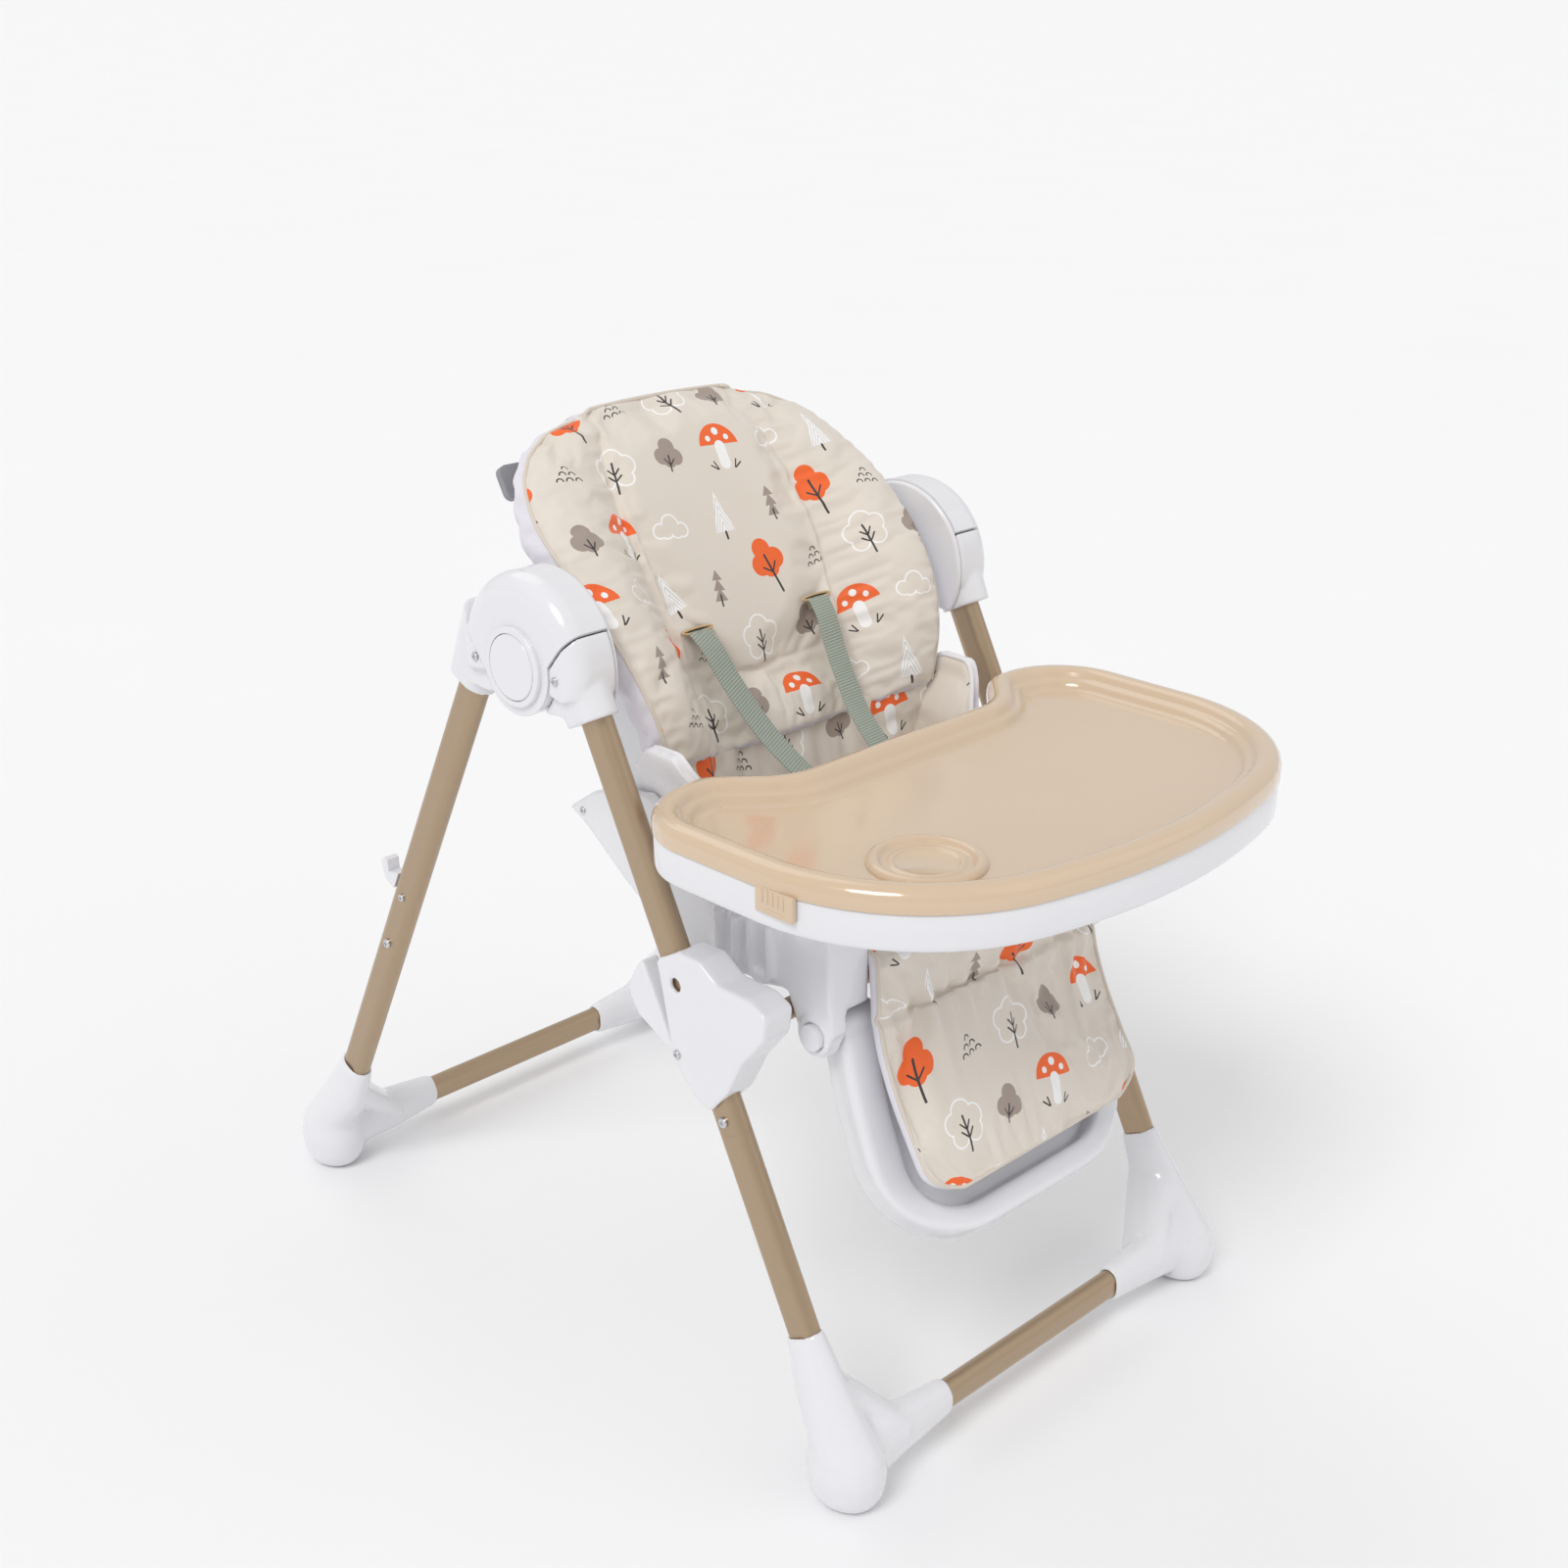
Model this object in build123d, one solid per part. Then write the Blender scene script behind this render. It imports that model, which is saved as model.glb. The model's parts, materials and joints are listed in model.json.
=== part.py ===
from build123d import *
import os
from math import cos, pi, radians, sin

# Folding baby high chair. Front is -Y, +X is the child's left, the floor is Z = 0. Millimetres.
# Places are worked out with Y = 0 at the top of the A-frame, and every solid is moved by
# centre_shift when it is written, so that the origin is the centre of the footprint.

# ---- driving dimensions ----
leg_x = 250.0            # lateral distance of the leg centrelines from the middle
apex_z = 835.6           # height at which the front and rear leg centrelines meet
front_slope = 0.508      # forward travel of the front leg per millimetre of drop
rear_slope = 0.513       # backward travel of the rear leg per millimetre of drop
tube_depth, tube_width, tube_wall = 35.0, 20.0, 1.5
bar_height, bar_depth = 30.0, 20.0
bar_z = 45.0             # height of the two floor bars
front_bar_y, rear_bar_y = -409.0, 397.0
foot_arm_end_x = 123.0   # where a floor bar leaves the foot
front_foot_top_z, rear_foot_top_z = 150.0, 148.0
seam_z = 318.0           # joint between upper and lower leg tubes
fit_gap = 0.4            # play between a part and the one it slides on

hub_y, hub_z = -12.0, 705.0
hub_radius, hub_inner_x, hub_outer_x = 85.0, 234.0, 281.0
hub_wall = 4.0
hub_lower_radius = 46.0
knuckle_radius, knuckle_half = 34.0, 12.0
axle_radius, axle_play = 8.0, 0.05
ring_radius, button_radius = 37.5, 31.0

cross_front = (-270.0, 424.0)     # Y, Z of the front cross tube under the seat
cross_rear = (-172.0, 424.0)
cross_radius = 10.0

seat_half, seat_wall = 198.0, 12.0
recline_pin = (-66.0, 556.0)      # Y, Z of the backrest hinge
recline_angle = 29.5              # lean of the backrest from upright
footrest_pin = (-310.0, 414.0)    # Y, Z of the footrest hinge
arm_top_z, tray_under_z = 562.0, 567.0
tray_top_z, insert_top_z = 600.0, 622.0
tray_front_y = -545.0
rear_foot_back_y = 452.0
tray_overhang = 1.5      # how far the insert's rim stands out past the tray
rear_boot_end_y = rear_foot_back_y + 1.0
centre_shift = -(tray_front_y - tray_overhang + rear_boot_end_y) / 2

nodes = {}


# ---- shared shapes ----
def leg_point(slope, z, x=leg_x):
    """Point on a leg centreline at height z; slope is negative for the front leg."""
    return Vector(x, slope * (apex_z - z), z)


def oval_bar(start, end, depth, width, wall=0.0, x_dir=(1, 0, 0)):
    """Flat-oval bar or tube from start to end, its long side square to x_dir."""
    path = end - start
    section = SlotOverall(depth, width, rotation=90)
    if wall:
        section -= SlotOverall(depth - 2 * wall, width - 2 * wall, rotation=90)
    return extrude(Plane(origin=start, x_dir=x_dir, z_dir=path) * section, amount=path.length)


def side_plate(points, x0, x1):
    """Side-view outline given as (Y, Z) points, thickened from x0 to x1."""
    outline = Plane.YZ.offset(x0) * Polygon(*points, align=None)
    return extrude(outline, amount=x1 - x0, dir=(1, 0, 0))


def pin_x(radius, x0, x1, y, z):
    """Round pin along X."""
    return extrude(Plane.YZ.offset(x0) * Pos(y, z) * Circle(radius), amount=x1 - x0)


def block(x0, x1, y0, y1, z0, z1):
    return Pos((x0 + x1) / 2, (y0 + y1) / 2, (z0 + z1) / 2) * Box(x1 - x0, y1 - y0, z1 - z0)


def add(name, shape):
    nodes[name] = shape


def add_pair(name, shape):
    """Store the left-hand shape and its mirror image as two nodes."""
    add(name + "_left", shape)
    add(name + "_right", mirror(shape, about=Plane.YZ))


def both(*shapes):
    """A left-hand group of solids and its mirror image as one group."""
    solids = [solid for part in shapes for solid in part.solids()]
    return Compound(solids + [mirror(solid, about=Plane.YZ) for solid in solids])


def screw(at, out, radius=4.2, height=2.2):
    """Domed screw head sitting on a face at the point at, pointing out, with a cross recess."""
    head = Cylinder(radius, height, align=(Align.CENTER, Align.CENTER, Align.MIN))
    head = fillet(head.edges().sort_by(Axis.Z)[-1], height * 0.6)
    slot = Pos(0, 0, height) * (Box(radius, 1, 1.6) + Box(1, radius, 1.6))
    return Plane(origin=at, z_dir=out) * (head - slot)


# ---- legs, floor bars and feet ----
front_leg_top_z, rear_leg_top_z = 706.0, 724.0
leg_foot_z = 62.0
spigot_length = 60.0


def leg_tubes(prefix, slope, top_z):
    seam = leg_point(slope, seam_z)
    upper = oval_bar(seam, leg_point(slope, top_z), tube_depth, tube_width, tube_wall)
    foot_end = leg_point(slope, leg_foot_z)
    lower = oval_bar(foot_end, seam, tube_depth, tube_width, tube_wall)
    along = (seam - foot_end).normalized()
    inset = 2 * tube_wall + 0.2
    spigot = oval_bar(seam - along * 40, seam + along * spigot_length,
                      tube_depth - inset, tube_width - inset, tube_wall)
    spigot_fill = oval_bar(seam - along * 40, seam - along * 0.2,
                           tube_depth - 1, tube_width - 1, tube_wall + 1)
    add_pair(prefix + "_leg_upper", upper)
    add_pair(prefix + "_leg_lower", lower + spigot_fill + spigot)


def ring(centre, normal, half_x, half_y, x_dir=(1, 0, 0), corners=16):
    """Many-sided oval section for a ruled loft."""
    turns = [2 * pi * (i + 0.5) / corners for i in range(corners)]
    outline = [(half_x * cos(turn), half_y * sin(turn)) for turn in turns]
    return Plane(origin=centre, x_dir=x_dir, z_dir=normal) * Polygon(*outline, align=None)


def foot(slope, bar_y, top_z, toe):
    """Moulded boot round the leg's end, with an arm inwards that takes the floor bar."""
    top = leg_point(slope, top_z)
    along = (leg_point(slope, 0) - top).normalized()
    down, inwards, lengthways = Vector(0, 0, -1), Vector(-1, 0, 0), (0, 1, 0)
    ball_x, ball_y = leg_x + 3, bar_y + toe
    boot = loft([ring(top, along, 14, 21.5),
                 ring(leg_point(slope, 104, leg_x + 2), along, 20, 29),
                 ring((ball_x, ball_y, 58), down, 30, 38),
                 ring((ball_x, ball_y, 36), down, 34, 41),
                 ring((ball_x, ball_y, 16), down, 32, 38),
                 ring((ball_x, ball_y, 4), down, 25, 31),
                 ring((ball_x, ball_y, 0), down, 18, 24)], ruled=True)
    arm = loft([ring((leg_x - 6, ball_y, 43), inwards, 30, 34, lengthways),
                ring((leg_x - 62, bar_y, bar_z), inwards, 19, 27, lengthways),
                ring((foot_arm_end_x, bar_y, bar_z), inwards, 14.5, 19.5, lengthways)], ruled=True)
    crook_top = leg_point(slope, 108)
    crook_end = Vector(leg_x - 64, bar_y, bar_z + 2)
    crook_way = crook_end - crook_top
    crook = loft([ring(crook_top, crook_way, 27, 17, lengthways),
                  ring(crook_end, crook_way, 24, 14, lengthways)], ruled=True)
    leg_hole = oval_bar(leg_point(slope, leg_foot_z - 1), leg_point(slope, top_z + 20),
                        tube_depth + 0.1, tube_width + 0.1)
    bar_hole = oval_bar(Vector(foot_arm_end_x - 2, bar_y, bar_z), Vector(leg_x - 20, bar_y, bar_z),
                        bar_height + 0.1, bar_depth + 0.1, x_dir=lengthways)
    return boot + arm + crook - leg_hole - bar_hole


def floor_bar(y):
    end = leg_x - 24
    return oval_bar(Vector(-end, y, bar_z), Vector(end, y, bar_z), bar_height, bar_depth,
                    tube_wall, x_dir=(0, 1, 0))


front_toe, rear_toe = 4.0, rear_foot_back_y - 40.0 - rear_bar_y
leg_tubes("front", -front_slope, front_leg_top_z)
leg_tubes("rear", rear_slope, rear_leg_top_z)
add_pair("front_foot", foot(-front_slope, front_bar_y, front_foot_top_z, front_toe))
add_pair("rear_foot", foot(rear_slope, rear_bar_y, rear_foot_top_z, rear_toe))
add("front_floor_bar", floor_bar(front_bar_y))
add("rear_floor_bar", floor_bar(rear_bar_y))

# ---- folding hub ----
hub_axis = Plane(origin=(0, hub_y, hub_z), x_dir=(0, 1, 0), z_dir=(1, 0, 0))
seam_low_front, seam_low_rear = (-30, 676), (20, 676)
front_seam = [(-88, 750), (-59, 716), (-43, 693), seam_low_front]
rear_seam = [seam_low_rear, (33, 692), (51, 714), (76, 750)]


def hub_disc(radius, x0, x1):
    return hub_axis * Pos(0, 0, x0) * Cylinder(radius, x1 - x0,
                                               align=(Align.CENTER, Align.CENTER, Align.MIN))


def hub_dome():
    """The hub's outer form, a disc with a well rounded outer edge."""
    dome = hub_disc(hub_radius, hub_inner_x, hub_outer_x)
    return fillet(dome.edges().sort_by(Axis.X)[-1], 20)


def hub_cover():
    dome = hub_dome()
    cavity = hub_disc(hub_radius - hub_wall, hub_inner_x - 1, hub_outer_x - hub_wall)
    cavity = fillet(cavity.edges().sort_by(Axis.X)[-1], 16)
    below = side_plate(front_seam + rear_seam + [(140, 750), (140, 560), (-160, 560), (-160, 750)],
                       hub_inner_x - 2, hub_outer_x + 2)
    shell = dome - cavity - below
    skirt = hub_disc(hub_lower_radius, 266, hub_outer_x)
    skirt -= hub_disc(hub_lower_radius - hub_wall, 265, hub_outer_x - hub_wall)
    ring = hub_disc(ring_radius, hub_outer_x - hub_wall, hub_outer_x + 5)
    ring = fillet(ring.edges().sort_by(Axis.X)[-1], 2)
    return shell + skirt + ring - hub_disc(button_radius + fit_gap, 260, 300)


sleeve_foot_z, sleeve_top_z, sleeve_face_x = 665.0, 760.0, 273.0
sleeve_foot_depth, sleeve_top_depth = 54.0, 60.0


def sleeve(slope, seam_side, shoulder_side, web):
    """Socket round a leg's upper end, flush with the hub's dome at the seam, and a flat web."""
    along = leg_point(slope, sleeve_top_z) - leg_point(slope, sleeve_foot_z)
    ends = ((sleeve_foot_z, sleeve_foot_depth, sleeve_face_x), (sleeve_top_z, sleeve_top_depth, hub_outer_x))
    rings = [Plane(origin=leg_point(slope, z, (hub_inner_x + face_x) / 2), x_dir=(1, 0, 0), z_dir=along)
             * SlotOverall(depth, face_x - hub_inner_x, rotation=90) for z, depth, face_x in ends]
    barrel = loft(rings) & side_plate(seam_side, hub_inner_x, hub_outer_x + 5)
    shoulder = hub_dome() & side_plate(shoulder_side, hub_inner_x, hub_outer_x + 5)
    hole = oval_bar(leg_point(slope, 600), leg_point(slope, 760), tube_depth + 0.1, tube_width + 0.1)
    return barrel + shoulder + side_plate(web, hub_inner_x, sleeve_face_x) - hole


gap = 1.2
front_seam_side = [(-160, 640), (-160, 747), (-86 - gap, 747), (-59 - gap, 716 - gap),
                   (-43 - gap, 693 - gap), (-30 - gap, 676 - gap), (-40, 640)]
front_shoulder = [(-86 - gap, 747), (-59 - gap, 716 - gap), (-43 - gap, 693 - gap), (-74, 684),
                  (-120, 700), (-120, 747)]
front_web = [(-59 - gap, 716 - gap), (-43 - gap, 693 - gap), (-30 - gap, 676 - gap), (-44, 665),
             (-70, 668), (-80, 700)]
rear_seam_side = [(40, 640), (20 + gap, 675 - gap), (33 + gap, 692 - gap), (51 + gap, 714 - gap),
                  (73 + gap, 746), (160, 746), (160, 640)]
rear_shoulder = [(73 + gap, 746), (51 + gap, 714 - gap), (33 + gap, 692 - gap), (74, 684), (120, 700),
                 (120, 746)]
rear_web = [(51 + gap, 714 - gap), (76, 700), (70, 668), (42, 666), (20 + gap, 675 - gap),
            (33 + gap, 692 - gap)]
clear_knuckle = hub_disc(knuckle_radius + 1, hub_inner_x - 1, 266)
clear_skirt = hub_disc(hub_lower_radius + 0.6, 264, 300)
front_sleeve = sleeve(-front_slope, front_seam_side, front_shoulder, front_web) - clear_knuckle - clear_skirt

knuckle = hub_disc(knuckle_radius, leg_x - knuckle_half, leg_x + knuckle_half)
link = side_plate([(-10, 712), (60, 735), (60, 690), (20, 680), (-10, 685)],
                  leg_x - knuckle_half, leg_x + knuckle_half)
rear_hole = oval_bar(leg_point(rear_slope, 600), leg_point(rear_slope, rear_leg_top_z + 0.5),
                     tube_depth + 0.1, tube_width + 0.1)
rear_sleeve = sleeve(rear_slope, rear_seam_side, rear_shoulder, rear_web) - clear_skirt + knuckle + link
rear_sleeve = rear_sleeve - rear_hole - hub_disc(axle_radius + axle_play, 200, 300)
rear_sleeve = rear_sleeve - hub_disc(hub_lower_radius + 0.6, leg_x + knuckle_half, 300)

inner_cover_x = hub_inner_x - 4.5
inner_cover = hub_disc(hub_radius - 2, inner_cover_x, hub_inner_x - 0.5)
inner_cover = fillet(inner_cover.edges().sort_by(Axis.X)[0], 3)
inner_cover -= hub_disc(axle_radius + 0.02, 200, 300)
inner_cover -= side_plate([(120, 700), (45, 690), (26, 664), (-160, 664), (-160, 560), (120, 560)], 200, 260)
axle = hub_disc(axle_radius, inner_cover_x - 2, 265) + hub_disc(12, inner_cover_x - 4.5, inner_cover_x)
button = hub_disc(button_radius, 273, 287)
button = fillet(button.edges().sort_by(Axis.X)[-1], 2.5) - hub_disc(button_radius - 2.5, 272, 284)
spring_turns = [hub_axis * Pos(0, 0, 266.5 + 2.6 * turn) * Torus(12, 1) for turn in range(4)]

add_pair("hub_cover", hub_cover())
add_pair("front_sleeve", front_sleeve)
add_pair("rear_sleeve", rear_sleeve)
add_pair("hub_inner_cover", inner_cover)
add_pair("hub_axle", axle)
add_pair("hub_button", button)
snap_out = Vector(tube_width / 2 + 0.1, 0, 0)
add("hub_springs", both(*spring_turns))
add("front_screws", both(screw((hub_outer_x + 0.1, -68, 704), (1, 0, 0)),
                         screw(leg_point(-front_slope, seam_z + 12) + snap_out, (1, 0, 0), 5, 3)))

# ---- rear leg fittings ----
hook_at = leg_point(rear_slope, 406) + Vector(0, 15.5, 8)
hook = side_plate([(2.4, -16), (16, -10), (22, 8), (16, 14), (11, 12), (10, 0), (-6.8, 2)], -7, 7)
add("tray_hooks", both(Pos(hook_at.X, hook_at.Y + 6.5, hook_at.Z) * hook))
add("rear_screws", both(screw((hub_outer_x + 0.1, 47, 701), (1, 0, 0)),
                        screw(leg_point(rear_slope, seam_z + 12) + snap_out, (1, 0, 0), 5, 3),
                        screw(leg_point(rear_slope, 393) + snap_out, (1, 0, 0))))

# ---- seat carriage: sliding brackets and cross tubes ----
bracket_outline = [(-176, 466), (-204, 482), (-232, 482), (-256, 467), (-294, 467), (-316, 458),
                   (-312, 432), (-286, 400), (-266, 362), (-243, 336), (-222, 346), (-196, 374)]
lever_outline = [(-152, 457), (-139, 438), (-134, 426), (-135, 412), (-145, 398), (-165, 388),
                 (-188, 375), (-206, 374.5), (-208.5, 380), (-205, 385.5), (-190, 386)]
lever_pivot = (-203, 380)
lever_x0, lever_x1 = 242.0, 262.0
bracket_x0, bracket_x1 = 231.0, 266.0
slide_hole = oval_bar(leg_point(-front_slope, 300), leg_point(-front_slope, 520),
                      tube_depth + 2 * fit_gap, tube_width + 2 * fit_gap)
bracket = side_plate(bracket_outline, bracket_x0, bracket_x1)
bracket = fillet(bracket.edges().filter_by(Axis.X), 6)
bracket = fillet(bracket.edges().group_by(Axis.X)[-1], 2.5)
bracket += oval_bar(leg_point(-front_slope, 384), leg_point(-front_slope, 468), 45, 30)
boss = pin_x(17, 214, bracket_x0 + 1, *cross_front) + pin_x(15, 218, bracket_x0 + 1, *cross_rear)
window = pin_x(6.5, leg_x, 280, -201, 448)
tube_holes = [pin_x(cross_radius + 0.02, 200, 236, *place) for place in (cross_front, cross_rear)]
rear_boss_web = side_plate([(-200, 440), (-172, 439), (-160, 424), (-172, 409), (-200, 400)], 218, 236)
lever_pocket = pin_x(7.5, lever_x0 - 1, lever_x1 + 1, *lever_pivot)
lever_pocket += block(lever_x0 - 1, lever_x1 + 1, -203, -180, 371, 388)
pivot_radius = 2.0
bracket = bracket + boss + rear_boss_web - slide_hole - window - tube_holes - lever_pocket
bracket -= pin_x(pivot_radius + 0.02, 236, bracket_x1 + 1, *lever_pivot)
add_pair("height_bracket", bracket)
lever = side_plate(lever_outline, lever_x0, lever_x1)
lever = fillet(lever.edges().filter_by(Axis.X).sort_by(Axis.Z)[-5:], 3)
add_pair("height_lever", lever - pin_x(pivot_radius + 0.05, 236, 270, *lever_pivot))
for name, place in (("front_cross_tube", cross_front), ("rear_cross_tube", cross_rear)):
    add(name, pin_x(cross_radius, -235, 235, *place) - pin_x(cross_radius - 1.5, -236, 236, *place))
pivot_pin = pin_x(pivot_radius, 237, bracket_x1 + 0.6, *lever_pivot)
add("bracket_screws", both(screw((bracket_x1 + 0.1, *lever_pivot), (1, 0, 0)) + pivot_pin))

# ---- seat base ----
seat_outline = [(-327, 540), (-327, 436), (-276, 436), (-276, 445), (-152, 436), (-100, 456),
                (-60, 480), (0, 524), (24, 536), (-14, 562), (-52, 574), (-92, 580), (-150, 540)]
seat_inner_x = seat_half - seat_wall
wall = side_plate(seat_outline, seat_inner_x, seat_half)
lug = side_plate([(-327, 450), (-331, 420), (-320, 394), (-300, 391), (-290, 405), (-276, 440),
                  (-276, 450)], 178, seat_half)
knob_ring = pin_x(19, seat_half, seat_half + 4, *footrest_pin)
rib = side_plate([(0, 0), (34, 0), (34, 62), (0, 62)], seat_half - 1, seat_half + 8)
rib = fillet(rib.edges().filter_by(Axis.X).sort_by(Axis.Z)[:2], 14)
groove = side_plate([(10, 12), (24, 12), (24, 63), (10, 63)], seat_half + 1, seat_half + 9)
ribs = Pos(0, -262, 444) * (rib - groove) + Pos(0, -218, 438) * (rib - groove)
front_post = block(148, seat_half, -327, -303, 436, 540)
front_post -= block(152, seat_inner_x, -323, -302, 430, 536)
foot_clear = pin_x(22, 120, 177, *footrest_pin)
pan = block(-seat_half + 1, seat_half - 1, -302, -92, 452, 458)
tube_saddle = block(120, 150, -285, -160, 434.3, 453)
scoop_top = side_plate([(-92, 580), (-52, 574), (-14, 562), (24, 536), (19, 533), (-16, 557),
                        (-54, 569), (-92, 575)], -seat_inner_x, seat_inner_x)
scoop_back = side_plate([(24, 536), (0, 524), (-60, 480), (-60, 486), (-3, 528), (19, 540)],
                        -seat_inner_x, seat_inner_x)
half = wall + lug + knob_ring + ribs + (front_post - foot_clear) + tube_saddle
half -= pin_x(5.5, 170, 210, *recline_pin) + pin_x(12.5, 170, 210, *footrest_pin)
scoop = scoop_top + scoop_back - pin_x(36, -seat_inner_x, seat_inner_x, *recline_pin)
seat_base = half + mirror(half, about=Plane.YZ) + pan + scoop
add("seat_base", seat_base)

arm = block(200, 226, -335, -158, arm_top_z - 22, arm_top_z)
arm = fillet(arm.edges().filter_by(Axis.Z) + arm.edges().filter_by(Axis.Y), 5)
arm = arm - block(190, 201, -340, -150, 530, 570) + block(seat_half, 201.5, -325, -170, 541, 558)
add_pair("armrest", arm)
add("seat_screws", both(screw((seat_half + 0.1, 2, 538), (1, 0, 0), 3.5, 2),
                        screw((seat_half + 0.1, -170, 448), (1, 0, 0), 3.5, 2)))

cushion = block(-166, 166, -301, -98, 459, 486)
cushion = fillet(cushion.edges().filter_by(Axis.Z), 25)
bolster = block(166, 184, -300, -112, 459, 566)
bolster = fillet(bolster.edges().filter_by(Axis.X), 20)
front_drop = block(-144, 144, -327, -296, 459.5, 484) + block(-144, 144, -327, -306, 440, 484)
add("seat_pad", cushion + front_drop + bolster + mirror(bolster, about=Plane.YZ))

# ---- backrest, in its own frame: X lateral, local y up the backrest, local z forwards ----
lean = radians(recline_angle)
up_back = Vector(0, sin(lean), cos(lean))
forward = Vector(0, -cos(lean), sin(lean))
stations = (24, 70, 130, 220, 300, 345, 372)
half_widths = (186, 200, 214, 225, 212, 176, 120)
edge_forward = (72, 92, 98, 74, 40, 24, 18)
seam_forward = (40, 46, 50, 50, 42, 34, 26)
centre_forward = (27, 27, 27, 28, 28, 27, 25)
pad_thick = 24.0


def back_point(x, along, out):
    at = Vector(0, *recline_pin) + up_back * along + forward * out
    return Vector(x, at.Y, at.Z)


def back_loft(sections):
    """Ruled loft up the backrest; each section lists (x, forward) points of its left half."""
    faces = []
    for along, left in zip(stations, sections):
        outline = left + [(-x, out) for x, out in reversed(left) if x > 0]
        faces.append(make_face(Polyline(*[back_point(x, along, out) for x, out in outline], close=True)))
    return loft(faces, ruled=True)


def pad_back(i):
    """Rear line of the pad at station i, from the middle to the edge."""
    seam_x = half_widths[i] * 0.53 + 8
    return [(0, centre_forward[i] - pad_thick), (seam_x, seam_forward[i] - pad_thick),
            (half_widths[i], edge_forward[i] - 14)]


def pad_section(i):
    front = [(0, centre_forward[i]), (half_widths[i] * 0.53, seam_forward[i]),
             (half_widths[i] - 10, edge_forward[i])]
    return [front[0]] + front[1:] + pad_back(i)[:0:-1] + [pad_back(i)[0]]


def shell_section(i):
    middle, seam, edge = pad_back(i)
    shrink = 1 - 8 / (edge[0] - seam[0])
    tip = (edge[0] - 8, seam[1] + (edge[1] - seam[1]) * shrink)
    line = [(x, out - 0.8) for x, out in (middle, seam, tip)]
    return line + [(x, out - 4.5) for x, out in reversed(line)]


strap_x, slot_along, slot_width = 81.0, 139.0, 34.0
strap_width, strap_thick = 25.0, 1.6
slots = [Plane(origin=back_point(x, slot_along, 10), x_dir=(1, 0, 0), z_dir=forward)
         * Box(slot_width, 5, 120) for x in (-strap_x, strap_x)]
pad = back_loft([pad_section(i) for i in range(len(stations))]) - slots
shell = back_loft([shell_section(i) for i in range(len(stations))]) - slots
ear_places = ((0, 15), (24, 40), (60, 46), (60, 24), (2, -15))
ear_outline = [back_point(0, along, out) for along, out in ear_places]
ear = side_plate([(point.Y, point.Z) for point in ear_outline], 172, 184.5)
ear += pin_x(15, 172, 184.5, *recline_pin) + pin_x(5.45, 184, 201, *recline_pin)
flange_places = ((14, -3), (8, 14), (28, 44), (70, 62), (120, 68), (165, 56), (190, 30), (150, 8),
                 (80, -4))
flange = side_plate([(point.Y, point.Z) for point in (back_point(0, *at) for at in flange_places)],
                    180.5, 184.5)
add("backrest_pad", pad)
sides = ear + flange - back_loft([pad_section(i) for i in range(len(stations))])
add("backrest_shell", shell + sides + mirror(sides, about=Plane.YZ))


def on_back(shape, x, along, out):
    """Place a shape on the backrest: its x lateral, its y up the backrest, its z forwards."""
    return Plane(origin=back_point(x, along, out), x_dir=(1, 0, 0), z_dir=forward) * shape


housing = on_back(Box(130, 40, 18), 0, 296, -15)
stem_holes = [on_back(Rot(90, 0, 0) * Cylinder(4.3, 60), x, 310, -15) for x in (-45, 45)]
stems = [on_back(Rot(90, 0, 0) * Cylinder(4, 42), x, 310, -15) for x in (-45, 45)]
handle = on_back(fillet(Box(120, 14, 20).edges().filter_by(Axis.X), 5), 0, 336, -16)
add("recline_housing", housing - stem_holes)
add("recline_handle", handle + stems)
hook_tab = on_back(fillet(Box(30, 34, 8).edges().filter_by(Axis.Z), 8) - Cylinder(3, 20), 176, 331, -19)
add("pad_hooks", both(hook_tab))


def strap(start, end, width, across):
    """Flat webbing from start to end, its width along the direction across."""
    path = end - start
    section = Plane(origin=start, x_dir=across, z_dir=path) * Rectangle(width, strap_thick)
    return extrude(section, amount=path.length)


lateral = (1, 0, 0)
buckle_at = Vector(0, -212, 524)
add("shoulder_straps", both(strap(back_point(strap_x, slot_along, 48), Vector(50, -188, 562),
                                  strap_width, lateral)))
add("waist_straps", both(strap(Vector(162, -140, 500), Vector(26, -212, 522), strap_width, (0, 0, 1))))
add("crotch_strap", strap(Vector(0, -232, 487), Vector(0, -216, 503), strap_width, lateral))
buckle = fillet(Box(46, 16, 40).edges(), 4) - Pos(0, -6, -2) * Cylinder(9.3, 12, rotation=(90, 0, 0))
add("harness_buckle", Pos(*buckle_at) * buckle)
add("buckle_button", Pos(*(buckle_at + Vector(0, -6, -2))) * Cylinder(9, 6, rotation=(90, 0, 0)))

# ---- tray ----
tray_corners = [((300, -494.9), 190), ((300, -166), 80), ((196, -166), 40), ((140, -217), 60)]
tray_front_corner = ((0, tray_front_y - 13.6), 609)
tray_turns = ([tray_front_corner] + tray_corners
              + [((-x, y), radius) for (x, y), radius in reversed(tray_corners)])
tray_face = Polygon(*[corner for corner, radius in tray_turns], align=None)
for (x, y), radius in tray_turns:
    tray_face = fillet(tray_face.vertices().sort_by_distance((x, y, 0))[0], radius)


def tray_layer(grow, z0, z1):
    """The tray's plan, grown or shrunk by grow, from z0 up to z1."""
    plan = offset(tray_face, amount=grow) if grow else tray_face
    return extrude(Pos(0, 0, z0) * plan, amount=z1 - z0, dir=(0, 0, 1))


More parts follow.
